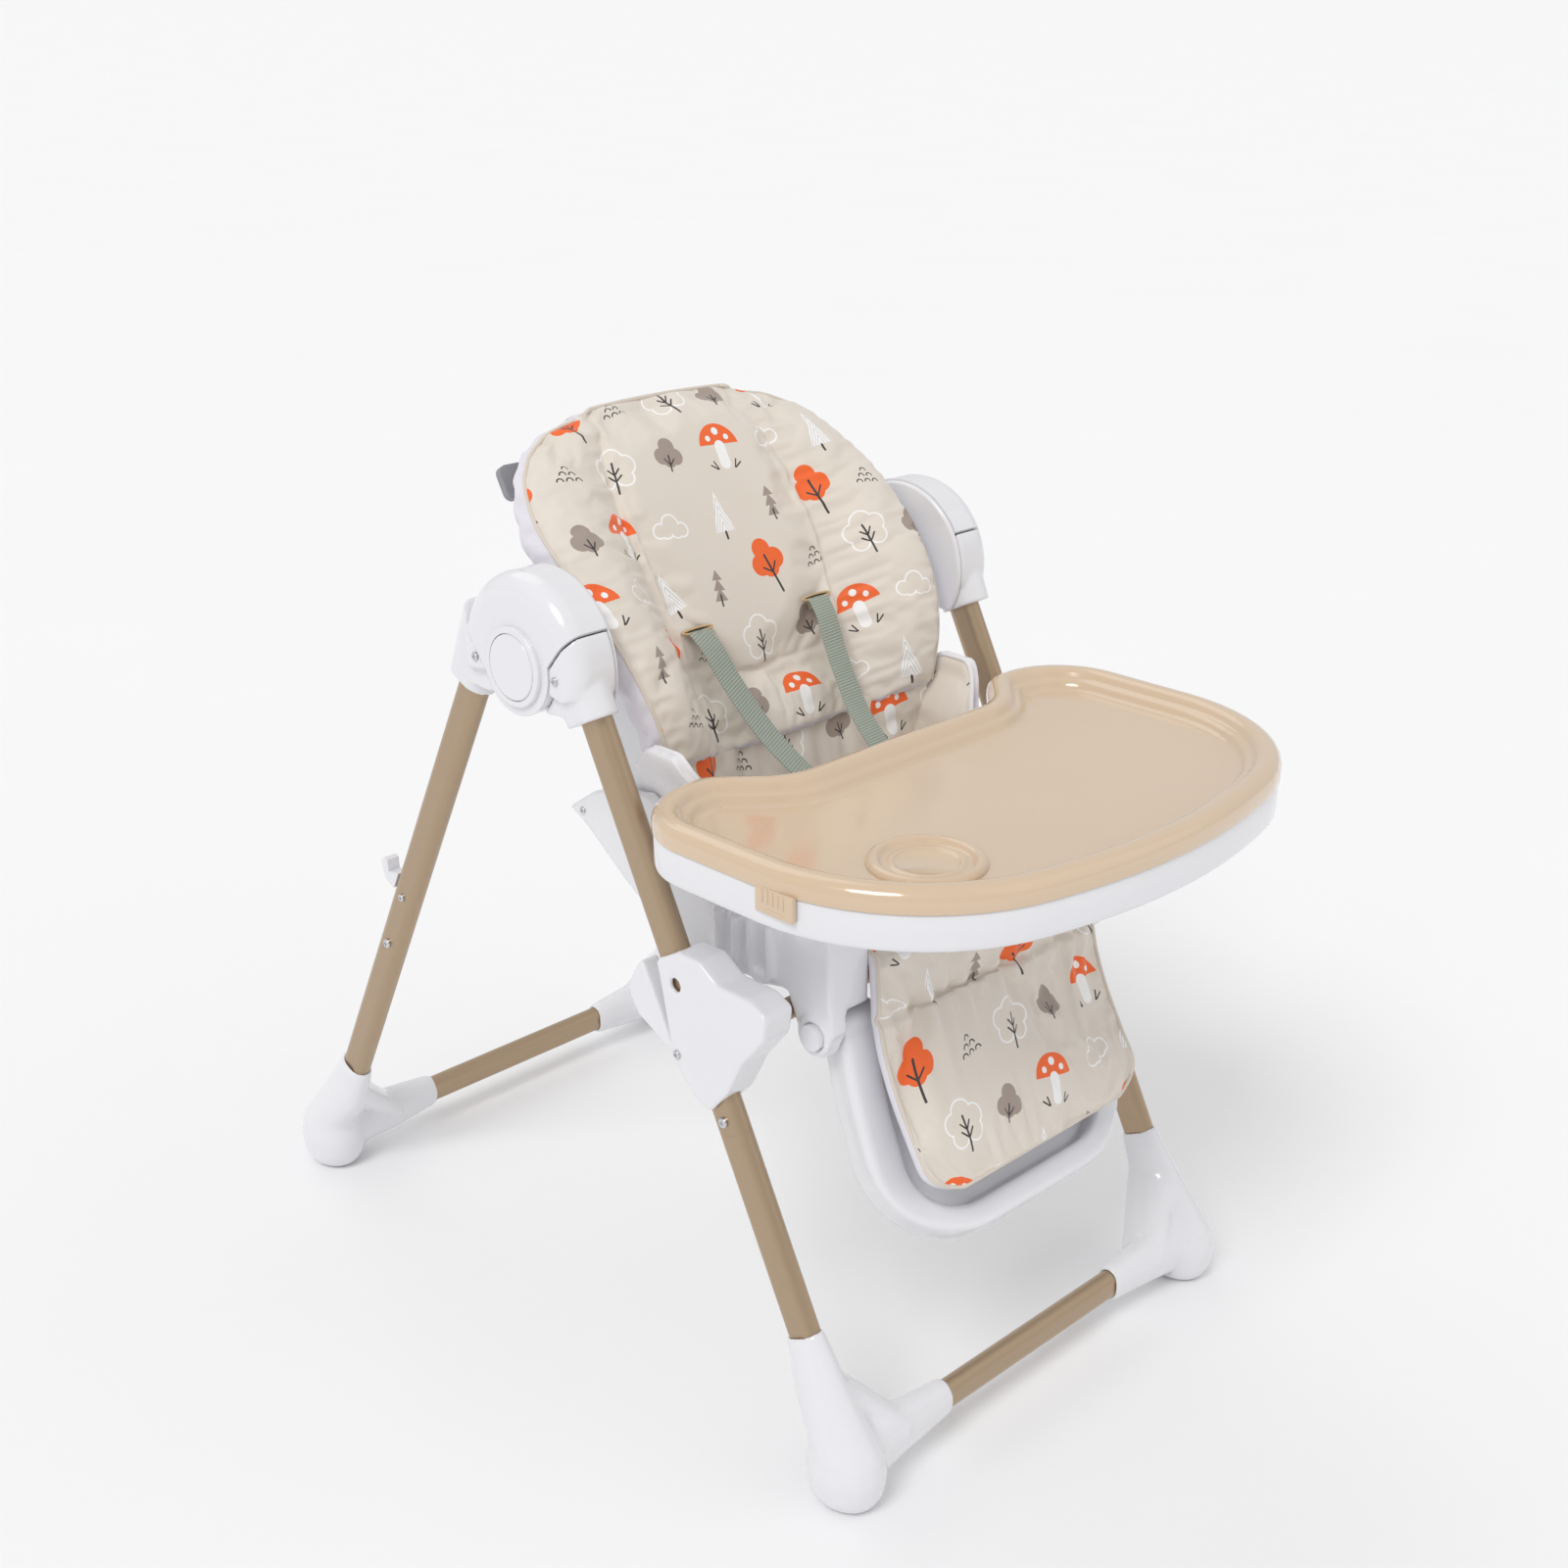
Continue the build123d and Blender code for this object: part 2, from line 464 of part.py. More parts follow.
tab_zone = block(270, 310, -384, -341, 580, 602)
tab_zone += mirror(tab_zone, about=Plane.YZ)
tray_base = tray_layer(0, tray_under_z, tray_top_z) - tray_layer(-4, tray_under_z - 1, tray_top_z - 5)
tray_base -= tab_zone
guide = block(227, 231, -335, -190, 547, tray_top_z - 4)
add("tray_base", tray_base + guide + mirror(guide, about=Plane.YZ))
rim = tray_layer(1.5, tray_top_z + 0.4, insert_top_z)
rim = fillet(rim.edges().group_by(Axis.Z)[-1], 7)
insert = rim - tray_layer(-31, tray_top_z + 4, insert_top_z + 1)
tab_body = tray_layer(1.5, 581, 601) - tray_layer(-3, 570, 610)
insert += tab_body & (block(-310, -270, -383.5, -341.5, 581, 601)
                      + block(270, 310, -383.5, -341.5, 581, 601))
cup_at = Pos(-173, -412, tray_top_z + 3.9)
cup_ring = Cylinder(51, 8, align=(Align.CENTER, Align.CENTER, Align.MIN))
cup_ring = fillet(cup_ring.edges().sort_by(Axis.Z)[-1], 3) - Cylinder(39, 30)
add("tray_insert", insert + cup_at * cup_ring)
add("tray_latch_lever", fillet(block(-34, 34, -532, -506, 572, 588).edges().filter_by(Axis.X), 4))

# ---- footrest ----
rest_back = [(-294, 404), (-306, 350), (-328, 290), (-346, 242), (-366, 214), (-392, 199)]
rest_front = [(-418, 206), (-410, 236), (-384, 262), (-362, 296), (-342, 350), (-328, 404)]
rest_inner = [(-300, 430), (-312, 352), (-334, 292), (-352, 246), (-370, 220), (-430, 219), (-430, 430)]
frame_block = side_plate(rest_back + rest_front, -178, 178)
front_view = extrude(Plane.XZ.offset(200) * Pos(0, 320) * Rectangle(356, 250), amount=240)
front_view = fillet(front_view.edges().filter_by(Axis.Y).sort_by(Axis.Z)[:2], 48)
footrest = (frame_block & front_view) - side_plate(rest_inner, -136, 136)
footrest -= block(-136, 136, -340, -280, 358, 430)
knuckles = pin_x(15.5, 130, 176.5, *footrest_pin)
footrest -= pin_x(23, 176, 179, *footrest_pin) + pin_x(23, -179, -176, *footrest_pin)
footrest = footrest + knuckles + mirror(knuckles, about=Plane.YZ) + pin_x(9, -132, 132, *footrest_pin)
add("footrest_frame", footrest)
calf_outline = [(-338, 398), (-362, 398), (-386, 340), (-406, 300), (-426, 276), (-420, 266),
                (-404, 268), (-388, 284), (-366, 300), (-346, 352)]
calf = side_plate(calf_outline, -144, 144)
add("calf_pad", calf)
add_pair("footrest_button", pin_x(12.4, 181, 206, *footrest_pin))

# ---- write one file per node ----
os.makedirs("parts", exist_ok=True)
for name, shape in nodes.items():
    export_step(Pos(0, centre_shift, 0) * shape, f"parts/{name}.step")
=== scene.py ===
import bpy
import bmesh
import json
import numpy as np
from math import atan2, cos, dist, hypot, pi, radians, sin, tan
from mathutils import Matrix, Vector

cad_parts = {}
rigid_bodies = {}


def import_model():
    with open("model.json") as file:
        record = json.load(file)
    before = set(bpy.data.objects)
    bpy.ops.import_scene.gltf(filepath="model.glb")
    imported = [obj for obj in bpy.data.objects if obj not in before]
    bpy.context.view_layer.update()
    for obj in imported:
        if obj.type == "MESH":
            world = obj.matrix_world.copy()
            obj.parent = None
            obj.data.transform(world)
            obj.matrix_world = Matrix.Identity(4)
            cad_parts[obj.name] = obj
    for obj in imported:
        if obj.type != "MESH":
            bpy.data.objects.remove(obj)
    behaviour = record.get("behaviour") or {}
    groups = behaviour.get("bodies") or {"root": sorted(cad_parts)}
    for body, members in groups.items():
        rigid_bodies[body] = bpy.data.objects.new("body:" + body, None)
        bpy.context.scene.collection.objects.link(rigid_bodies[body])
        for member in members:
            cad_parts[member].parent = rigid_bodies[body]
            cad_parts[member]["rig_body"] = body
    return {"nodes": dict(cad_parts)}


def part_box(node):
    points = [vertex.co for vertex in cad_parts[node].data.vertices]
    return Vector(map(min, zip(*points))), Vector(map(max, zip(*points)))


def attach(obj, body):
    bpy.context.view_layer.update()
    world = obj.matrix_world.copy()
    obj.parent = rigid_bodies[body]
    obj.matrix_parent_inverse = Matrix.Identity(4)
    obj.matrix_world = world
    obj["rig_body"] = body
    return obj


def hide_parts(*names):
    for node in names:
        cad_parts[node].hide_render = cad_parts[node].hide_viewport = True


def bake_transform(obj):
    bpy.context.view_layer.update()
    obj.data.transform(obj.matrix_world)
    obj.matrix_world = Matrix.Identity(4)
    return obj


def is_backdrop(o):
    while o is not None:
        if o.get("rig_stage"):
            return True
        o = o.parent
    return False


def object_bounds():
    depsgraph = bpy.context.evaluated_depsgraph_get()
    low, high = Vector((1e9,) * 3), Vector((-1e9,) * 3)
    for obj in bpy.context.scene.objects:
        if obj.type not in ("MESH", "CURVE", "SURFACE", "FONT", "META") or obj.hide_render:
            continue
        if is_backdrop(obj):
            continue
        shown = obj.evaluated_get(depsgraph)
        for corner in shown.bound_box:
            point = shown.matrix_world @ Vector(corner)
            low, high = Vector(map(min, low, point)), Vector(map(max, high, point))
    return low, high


# Baby high chair: the looks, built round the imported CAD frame. Lengths in the shape functions are
# millimetres with Y = 0 at the top of the A-frame, as in the CAD source; place() turns them into
# the frame's metres. Front is -Y, +X is the child's left.

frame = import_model()
nodes = frame["nodes"]
cad_low, cad_high = (Vector(corner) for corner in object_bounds())

MM = 0.001
FRONT_BAR_Y = -409.0
bar_low, bar_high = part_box("front_floor_bar")
SHIFT = (bar_low.y + bar_high.y) / 2 / MM - FRONT_BAR_Y
SIDES = (("left", 1), ("right", -1))


def place(x, y, z):
    return Vector((x, y + SHIFT, z)) * MM


def srgb(red, green, blue):
    """Linear colour from 0-255 screen values."""
    values = [channel / 255 for channel in (red, green, blue)]
    linear = [v / 12.92 if v <= 0.04045 else ((v + 0.055) / 1.055) ** 2.4 for v in values]
    return (*linear, 1.0)


def add_object(name, data):
    made = bpy.data.objects.new(name, data)
    bpy.context.scene.collection.objects.link(made)
    return made


# ---- shader helpers ----
def node(tree, kind, inputs=None, **settings):
    """Add a node, set its properties, and set or link its inputs."""
    made = tree.nodes.new(kind)
    for key, value in settings.items():
        setattr(made, key, value)
    for key, value in (inputs or {}).items():
        if isinstance(value, bpy.types.NodeSocket):
            tree.links.new(value, made.inputs[key])
        else:
            made.inputs[key].default_value = value
    return made


def calc(tree, operation, *values):
    return node(tree, "ShaderNodeMath", dict(enumerate(values)), operation=operation).outputs[0]


def vector_calc(tree, operation, *values, scale=None, scalar=False):
    inputs = dict(enumerate(values))
    if scale is not None:
        inputs["Scale"] = scale
    made = node(tree, "ShaderNodeVectorMath", inputs, operation=operation)
    return made.outputs["Value" if scalar else "Vector"]


def mix(tree, factor, first, second):
    made = node(tree, "ShaderNodeMix", data_type="RGBA")
    for name, value in (("Factor_Float", factor), ("A_Color", first), ("B_Color", second)):
        socket = next(s for s in made.inputs if s.identifier == name)
        if isinstance(value, bpy.types.NodeSocket):
            tree.links.new(value, socket)
        else:
            socket.default_value = value
    return next(s for s in made.outputs if s.identifier == "Result_Color")


def noise(tree, vector, scale, detail=2.0, rough=0.5):
    inputs = {"Vector": vector, "Scale": scale, "Detail": detail, "Roughness": rough}
    return node(tree, "ShaderNodeTexNoise", inputs).outputs["Fac"]


def ramp(tree, factor, low, high):
    """Map 0..1 onto low..high."""
    return node(tree, "ShaderNodeMapRange", {0: factor, 3: low, 4: high}).outputs[0]


def new_material(name, **numbers):
    """Material with a Principled shader; numbers are its uniform settings."""
    material = bpy.data.materials.new(name)
    material.use_nodes = True
    shader = material.node_tree.nodes["Principled BSDF"]
    for key, value in numbers.items():
        shader.inputs[key.replace("_", " ")].default_value = value
    return material, material.node_tree, shader


def object_place(tree):
    return node(tree, "ShaderNodeTexCoord").outputs["Object"]


def bump(tree, shader, height, strength, distance, normal=None):
    inputs = {"Height": height, "Strength": strength, "Distance": distance}
    if normal is not None:
        inputs["Normal"] = normal
    made = node(tree, "ShaderNodeBump", inputs)
    tree.links.new(made.outputs[0], shader.inputs["Normal"])


def soft_edges(tree, radius):
    return node(tree, "ShaderNodeBevel", {"Radius": radius}, samples=6).outputs[0]


def paint(tree, shader, colour, roughness=None):
    """Feed the shader's colour and, if given, its roughness."""
    tree.links.new(colour, shader.inputs["Base Color"])
    if roughness is not None:
        tree.links.new(roughness, shader.inputs["Roughness"])


# ---- hard materials ----
def moulded_plastic(name, light, dark, roughness, coat=0.0):
    """Moulded plastic: faint flow marks in its colour and a little orange peel in its gloss."""
    material, tree, shader = new_material(name, Coat_Weight=coat, Coat_Roughness=0.06)
    at = object_place(tree)
    paint(tree, shader, mix(tree, noise(tree, at, 9.0, 4.0), light, dark),
          ramp(tree, noise(tree, at, 35.0, 3.0), roughness - 0.04, roughness + 0.07))
    bump(tree, shader, noise(tree, at, 420.0), 0.05, 0.4 * MM, soft_edges(tree, 1.2 * MM))
    return material


def metallic_paint():
    """Champagne paint with fine flakes, slightly worn to a lighter tone in patches."""
    material, tree, shader = new_material("champagne_paint", Metallic=0.82, Coat_Weight=0.35,
                                          Coat_Roughness=0.18)
    at = object_place(tree)
    flakes = noise(tree, at, 2600.0, 2.0, 0.7)
    patches = noise(tree, at, 14.0, 3.0)
    base = mix(tree, flakes, srgb(148, 123, 96), srgb(197, 174, 146))
    paint(tree, shader, mix(tree, ramp(tree, patches, 0.0, 0.35), base, srgb(184, 160, 133)),
          ramp(tree, patches, 0.30, 0.42))
    bump(tree, shader, flakes, 0.12, 0.1 * MM, soft_edges(tree, 0.6 * MM))
    return material


def plated_steel():
    material, tree, shader = new_material("plated_steel", Metallic=1.0)
    at = object_place(tree)
    paint(tree, shader, mix(tree, noise(tree, at, 300.0), srgb(190, 190, 194), srgb(226, 226, 230)),
          ramp(tree, noise(tree, at, 900.0), 0.12, 0.3))
    return material


def insert_plastic():
    """Glossy warm beige plastic with faint flow clouds."""
    material, tree, shader = new_material("beige_insert", Coat_Weight=1.0, Coat_Roughness=0.09,
                                          Specular_IOR_Level=0.6)
    at = object_place(tree)
    paint(tree, shader, mix(tree, noise(tree, at, 6.0, 3.0), srgb(217, 192, 163), srgb(211, 185, 155)),
          ramp(tree, noise(tree, at, 60.0, 3.0), 0.14, 0.22))
    bump(tree, shader, noise(tree, at, 260.0), 0.03, 0.3 * MM)
    return material


# ---- printed fabric ----
BEIGE, BEIGE_SHADE = srgb(229, 220, 209), srgb(221, 211, 199)
PRINT_WHITE, PRINT_ORANGE = srgb(246, 245, 244), srgb(243, 104, 38)
PRINT_TAUPE, PRINT_DARK = srgb(163, 148, 138), srgb(58, 52, 52)


class Print:
    """Woodland motifs drawn with distances, in millimetres round each motif's middle."""

    def __init__(self, tree, at):
        self.tree = tree
        parts = node(tree, "ShaderNodeSeparateXYZ", {0: at})
        self.y = parts.outputs[1]
        self.side = calc(tree, "ABSOLUTE", parts.outputs[0])
        self.folded = node(tree, "ShaderNodeCombineXYZ", {0: self.side, 1: self.y}).outputs[0]

    def calc(self, operation, *values):
        return calc(self.tree, operation, *values)

    def discs(self, discs):
        """Distance to a union of discs (x, y, radius), mirrored left to right."""
        best = None
        for x, y, radius in discs:
            reach = vector_calc(self.tree, "DISTANCE", self.folded, (x, y, 0), scalar=True)
            reach = self.calc("SUBTRACT", reach, radius)
            best = reach if best is None else self.calc("MINIMUM", best, reach)
        return best

    def fill(self, reach):
        return self.calc("LESS_THAN", reach, 0.0)

    def outline(self, reach, width=0.75):
        return self.calc("LESS_THAN", self.calc("ABSOLUTE", reach), width)

    def stroke(self, start, end, width):
        """Round-ended line from start to end, mirrored left to right."""
        step = Vector((end[0] - start[0], end[1] - start[1], 0))
        away = vector_calc(self.tree, "SUBTRACT", self.folded, (*start, 0))
        along = vector_calc(self.tree, "DOT_PRODUCT", away, tuple(step / step.length_squared),
                            scalar=True)
        along = node(self.tree, "ShaderNodeClamp", {0: along}).outputs[0]
        foot = vector_calc(self.tree, "SCALE", tuple(step), scale=along)
        reach = vector_calc(self.tree, "DISTANCE", away, foot, scalar=True)
        return self.calc("LESS_THAN", reach, width)

    def any(self, *masks):
        best = masks[0]
        for mask in masks[1:]:
            best = self.calc("MAXIMUM", best, mask)
        return best

    def both(self, first, second):
        return self.calc("MULTIPLY", first, second)

    def above(self, height):
        return self.calc("GREATER_THAN", self.y, height)

    def bush(self):
        twigs = self.any(self.stroke((0, -13), (0, 1), 0.8), self.stroke((0, -8), (5, -2), 0.6))
        return {"taupe": self.fill(self.discs([(7, 0, 7.5), (0, 9, 8), (0, -3, 7)])), "dark": twigs}

    def round_tree(self):
        crown = self.discs([(0, 11, 10), (11, 5, 8.5), (8, -6, 8), (0, 0, 9)])
        twigs = self.any(self.stroke((0, -20), (0, 8), 0.95), self.stroke((0, -9), (6, -3), 0.75),
                         self.stroke((0, -3), (5, 3), 0.7))
        return {"white": self.outline(crown, 0.8), "dark": twigs}

    def pine(self):
        drop = self.calc("DIVIDE", self.calc("SUBTRACT", 14.0, self.y), 9.0)
        tier = self.calc("FRACT", drop)
        half = self.calc("MULTIPLY_ADD", tier, 4.6, self.calc("MULTIPLY", drop, 0.9))
        inside = self.calc("LESS_THAN", self.side, half)
        inside = self.both(inside, self.both(self.above(-12.9), self.calc("LESS_THAN", self.y, 14.0)))
        return {"taupe": inside, "dark": self.stroke((0, -17), (0, -8), 0.9)}

    def cloud(self):
        puffs = self.discs([(0, 4, 8.5), (11, -1, 6.2), (5, -2, 6)])
        return {"white": self.outline(puffs, 0.8)}

    def hills(self):
        arcs = [self.both(self.outline(self.discs([(x, y, 2.7)]), 0.6), self.above(y - 0.4))
                for x, y in ((8, -6), (0, -6), (4, 0), (0, 6))]
        rows = [self.calc("LESS_THAN", self.calc("ABSOLUTE", calc(
            self.tree, "SUBTRACT", self.y, row + 1.4)), 2.6) for row in (-6, -6, 0, 6)]
        return {"dark": self.any(*[self.both(arc, row) for arc, row in zip(arcs, rows)])}

    def autumn_tree(self):
        crown = self.discs([(0, 15, 9.5), (8, 3, 9.5), (0, -2, 9)])
        twigs = self.any(self.stroke((0, -25), (0, 9), 1.1), self.stroke((0, -7), (7, 0), 0.8))
        return {"orange": self.fill(crown), "dark": twigs}

    def toadstool(self):
        cap = self.both(self.fill(self.discs([(0, -2, 21)])), self.above(0.0))
        spots = self.fill(self.discs([(0, 12, 3.4), (10, 6, 2.6)]))
        stem = self.both(self.stroke((0, -17), (0, -2), 5.5), self.fill(self.discs([(0, -6, 17)])))
        grass = self.any(self.stroke((9, -22), (12, -15), 0.7), self.stroke((10, -22), (16, -18), 0.7))
        return {"orange": cap, "white": self.any(spots, stem), "dark": grass}

    def snowy_pine(self):
        half = self.calc("MULTIPLY", self.calc("SUBTRACT", 22.0, self.y), 0.30)
        inside = self.both(self.calc("LESS_THAN", self.side, half), self.above(-14.0))
        marks = self.calc("GREATER_THAN", self.calc("SINE", calc(
            self.tree, "MULTIPLY_ADD", self.side, 2.1, self.calc("MULTIPLY", self.y, 0.9))), 0.93)
        return {"white": inside, "taupe_over": self.both(marks, inside),
                "dark": self.stroke((0, -20), (0, -14.5), 1.2)}


def printed_cotton(cell=64.0, motif_size=1.13):
    """Beige coated cotton with a scattered woodland print, a fine weave and soft creases."""
    material, tree, shader = new_material("printed_cotton", Sheen_Weight=0.25, Sheen_Roughness=0.4)
    flat = node(tree, "ShaderNodeUVMap", uv_map="flat").outputs[0]
    at = vector_calc(tree, "SCALE", flat, scale=1 / MM)
    parts = node(tree, "ShaderNodeSeparateXYZ", {0: at})
    down = calc(tree, "DIVIDE", parts.outputs[1], cell)
    row = calc(tree, "FLOOR", down)
    slip = calc(tree, "MULTIPLY", calc(tree, "FLOORED_MODULO", row, 2.0), 0.5)
    aside = calc(tree, "ADD", calc(tree, "DIVIDE", parts.outputs[0], cell), slip)
    column = calc(tree, "FLOOR", aside)
    # 1000 cells on, so that the part below the point is never negative
    local_x, local_y = (
        calc(tree, "SUBTRACT", calc(tree, "FRACT", calc(tree, "ADD", cells, 1000.0)), 0.5)
        for cells in (aside, down))
    cell_id = node(tree, "ShaderNodeCombineXYZ", {0: column, 1: row, 2: 3.0}).outputs[0]
    chance = node(tree, "ShaderNodeTexWhiteNoise", {"Vector": cell_id}, noise_dimensions="3D")
    nudge = vector_calc(tree, "SUBTRACT", chance.outputs["Color"], (0.5, 0.5, 0.5))
    local = node(tree, "ShaderNodeCombineXYZ", {0: local_x, 1: local_y}).outputs[0]
    local = vector_calc(tree, "ADD", local, vector_calc(tree, "SCALE", nudge, scale=0.16))
    local = vector_calc(tree, "SCALE", local, scale=cell / motif_size)
    turn = ramp(tree, chance.outputs["Value"], -0.28, 0.28)
    local = node(tree, "ShaderNodeVectorRotate", {"Vector": local, "Angle": turn},
                 rotation_type="Z_AXIS").outputs[0]
    local = vector_calc(tree, "MULTIPLY", local, (1, 1, 0))
    drawing = Print(tree, local)
    motifs = [drawing.toadstool(), drawing.pine(), drawing.round_tree(), drawing.cloud(),
              drawing.autumn_tree(), drawing.bush(), drawing.snowy_pine(), drawing.hills()]
    pick = calc(tree, "FLOORED_MODULO", calc(tree, "MULTIPLY_ADD", column, 3.0,
                                             calc(tree, "MULTIPLY", row, 2.0)), float(len(motifs)))
    inks = {}
    for number, motif in enumerate(motifs):
        chosen = calc(tree, "COMPARE", pick, float(number), 0.4)
        for ink, mask in motif.items():
            layer = calc(tree, "MULTIPLY", mask, chosen)
            inks[ink] = calc(tree, "MAXIMUM", inks[ink], layer) if ink in inks else layer
    colour = mix(tree, noise(tree, at, 0.012, 3.0), BEIGE, BEIGE_SHADE)
    for ink, shade in (("taupe", PRINT_TAUPE), ("orange", PRINT_ORANGE), ("white", PRINT_WHITE),
                       ("taupe_over", PRINT_TAUPE), ("dark", PRINT_DARK)):
        colour = mix(tree, inks[ink], colour, shade)
    paint(tree, shader, colour, ramp(tree, noise(tree, at, 0.05), 0.50, 0.62))
    weave(tree, shader, at)
    return material


def weave(tree, shader, at, pitch=0.9, strength=0.16):
    """Plain weave plus faint creasing; at is in millimetres."""
    parts = node(tree, "ShaderNodeSeparateXYZ", {0: at})
    warp = calc(tree, "SINE", calc(tree, "MULTIPLY", parts.outputs[0], 2 * pi / pitch))
    weft = calc(tree, "SINE", calc(tree, "MULTIPLY", parts.outputs[1], 2 * pi / pitch))
    threads = calc(tree, "MULTIPLY", warp, weft)
    crease = noise(tree, at, 0.035, 3.0)
    height = calc(tree, "MULTIPLY_ADD", crease, 5.0, threads)
    bump(tree, shader, height, strength, 0.25 * MM)


def plain_cloth(name, light, dark):
    """Undyed or single-colour cloth with a weave that needs no UV map."""
    material, tree, shader = new_material(name, Sheen_Weight=0.2, Roughness=0.7)
    at = vector_calc(tree, "SCALE", object_place(tree), scale=1 / MM)
    paint(tree, shader, mix(tree, noise(tree, at, 0.03, 3.0), light, dark))
    weave(tree, shader, at, 1.1, 0.2)
    return material


def webbing():
    """Ribbed sage webbing; ribs cross the strap at a slant, as woven tape has them."""
    material, tree, shader = new_material("sage_webbing", Sheen_Weight=0.15, Roughness=0.75)
    flat = vector_calc(tree, "SCALE", node(tree, "ShaderNodeUVMap", uv_map="flat").outputs[0],
                       scale=1 / MM)
    parts = node(tree, "ShaderNodeSeparateXYZ", {0: flat})
    slant = calc(tree, "MULTIPLY_ADD", parts.outputs[0], 0.22, parts.outputs[1])
    ribs = calc(tree, "SINE", calc(tree, "MULTIPLY", slant, 2 * pi / 3.0))
    threads = calc(tree, "SINE", calc(tree, "MULTIPLY", parts.outputs[0], 2 * pi / 1.1))
    # Painted shade on the ribs: the colour follows the rib height, darker in the hollows and lighter on
    # the crests.
    shade = ramp(tree, ribs, -0.2, 1.0)
    colour = mix(tree, shade, srgb(146, 154, 142), srgb(186, 193, 180))
    paint(tree, shader, mix(tree, ramp(tree, noise(tree, flat, 0.4), 0.0, 0.3), colour,
                            srgb(160, 168, 156)))
    height = calc(tree, "MULTIPLY_ADD", threads, 0.25, ribs)
    bump(tree, shader, height, 0.7, 0.45 * MM)
    return material


WHITE = moulded_plastic("white_moulding", srgb(233, 233, 236), srgb(228, 228, 232), 0.15, 0.5)
GREY = moulded_plastic("grey_moulding", srgb(150, 150, 154), srgb(132, 132, 137), 0.42)
TUBE = metallic_paint()
STEEL = plated_steel()
INSERT = insert_plastic()
COTTON = printed_cotton()
LINING = plain_cloth("lilac_lining", srgb(232, 229, 235), srgb(220, 216, 225))
TRIM = plain_cloth("white_trim", srgb(244, 243, 245), srgb(232, 230, 234))
PIPING = plain_cloth("beige_piping", srgb(224, 214, 202), srgb(211, 200, 187))
TAPE = webbing()
TAN = plain_cloth("tan_buttonhole", srgb(214, 186, 140), srgb(190, 158, 112))
# Near-black cloth used only as painted shadow inside the strap slots.
SHADOW = plain_cloth("slot_painted_shadow", srgb(60, 54, 50), srgb(40, 36, 34))


# ---- mesh helpers ----
def settle(made, body, materials):
    """Give a new piece its materials, smooth shading and body; body is None where a later line gives
    it.
    """
    made.data.materials.clear()
    for material in materials:
        made.data.materials.append(material)
    made.data.shade_smooth()
    if body:
        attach(made, body)
    return made


def piece(name, points, faces, body, materials, uv=None):
    """New mesh object; points in metres. uv holds one flat place per point, in metres."""
    mesh = bpy.data.meshes.new(name)
    mesh.from_pydata([tuple(point) for point in points], [], faces)
    if uv is not None:
        layer = mesh.uv_layers.new(name="flat")
        for loop in mesh.loops:
            layer.data[loop.index].uv = uv[loop.vertex_index]
    return settle(add_object(name, mesh), body, materials)


def evaluated(made):
    return made.evaluated_get(bpy.context.evaluated_depsgraph_get())


def apply_modifiers(made):
    """Bake the object's modifiers into its mesh."""
    mesh = bpy.data.meshes.new_from_object(evaluated(made))
    old = made.data
    made.modifiers.clear()
    made.data = mesh
    bpy.data.meshes.remove(old)


def softened(cad_node, voxel, rounds, keep=1.0):
    """The CAD node's shape with its facets melted into one continuous moulded skin."""
    source = nodes[cad_node]
    made = add_object("soft_" + cad_node, source.data.copy())
    settle(made, source["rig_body"], [WHITE])
    melt(made, voxel, rounds, keep)
    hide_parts(cad_node)


def melt(made, voxel, rounds, keep=1.0):
    """Join a mesh's solids into one skin and smooth it."""
    remesh = made.modifiers.new("skin", "REMESH")
    remesh.mode = "VOXEL"
    remesh.voxel_size = voxel * MM
    smooth = made.modifiers.new("melt", "SMOOTH")
    smooth.factor = 0.5
    smooth.iterations = rounds
    if keep < 1.0:
        thin = made.modifiers.new("thin", "DECIMATE")
        thin.ratio = keep
    apply_modifiers(made)
    made.data.shade_smooth()


CLOTH_FRAMES = 16


def inflate(made, pins, pressure, cap, spare=0.02, bend=0.4):
    """Blow the closed form up as cloth, holding the pinned points.

    No point moves by more than cap millimetres. spare is how much larger the cloth is cut, as a
    share, and bend is its stiffness."""
    before = np.array([v.co for v in made.data.vertices])
    group = made.vertex_groups.new(name="seams")
    group.add([int(i) for i in pins], 1.0, "REPLACE")
    cloth = made.modifiers.new("cloth", "CLOTH")
    settings = {"quality": 6, "mass": 0.12, "tension_stiffness": 18, "compression_stiffness": 18,
                "shear_stiffness": 6, "bending_stiffness": bend, "shrink_min": -spare,
                "use_pressure": True, "uniform_pressure_force": pressure,
                "vertex_group_mass": "seams"}
    for key, value in settings.items():
        setattr(cloth.settings, key, value)
    cloth.settings.effector_weights.gravity = 0.0
    cloth.collision_settings.use_collision = False
    cloth.point_cache.frame_start = 1
    cloth.point_cache.frame_end = CLOTH_FRAMES
    scene = bpy.context.scene
    for number in range(1, CLOTH_FRAMES + 1):
        scene.frame_set(number)
    move = np.array([v.co for v in evaluated(made).data.vertices]) - before
    length = np.linalg.norm(move, axis=1, keepdims=True)
    move *= np.minimum(1.0, cap * MM / np.maximum(length, 1e-9))
    made.modifiers.clear()
    made.vertex_groups.clear()
    scene.frame_set(1)
    made.data.vertices.foreach_set("co", (before + move).ravel())
    made.data.update()


def subdivide(made):
    modifier = made.modifiers.new("finer", "SUBSURF")
    modifier.levels = 1
    modifier.render_levels = 1
    apply_modifiers(made)
    made.data.shade_smooth()


def run_lengths(points):
    """Distance along a line of points, up to each of them."""
    runs = [0.0]
    for first, second in zip(points, points[1:]):
        runs.append(runs[-1] + dist(first, second))
    return runs


def points_of(made, indices):
    return [made.data.vertices[int(number)].co.copy() for number in indices]


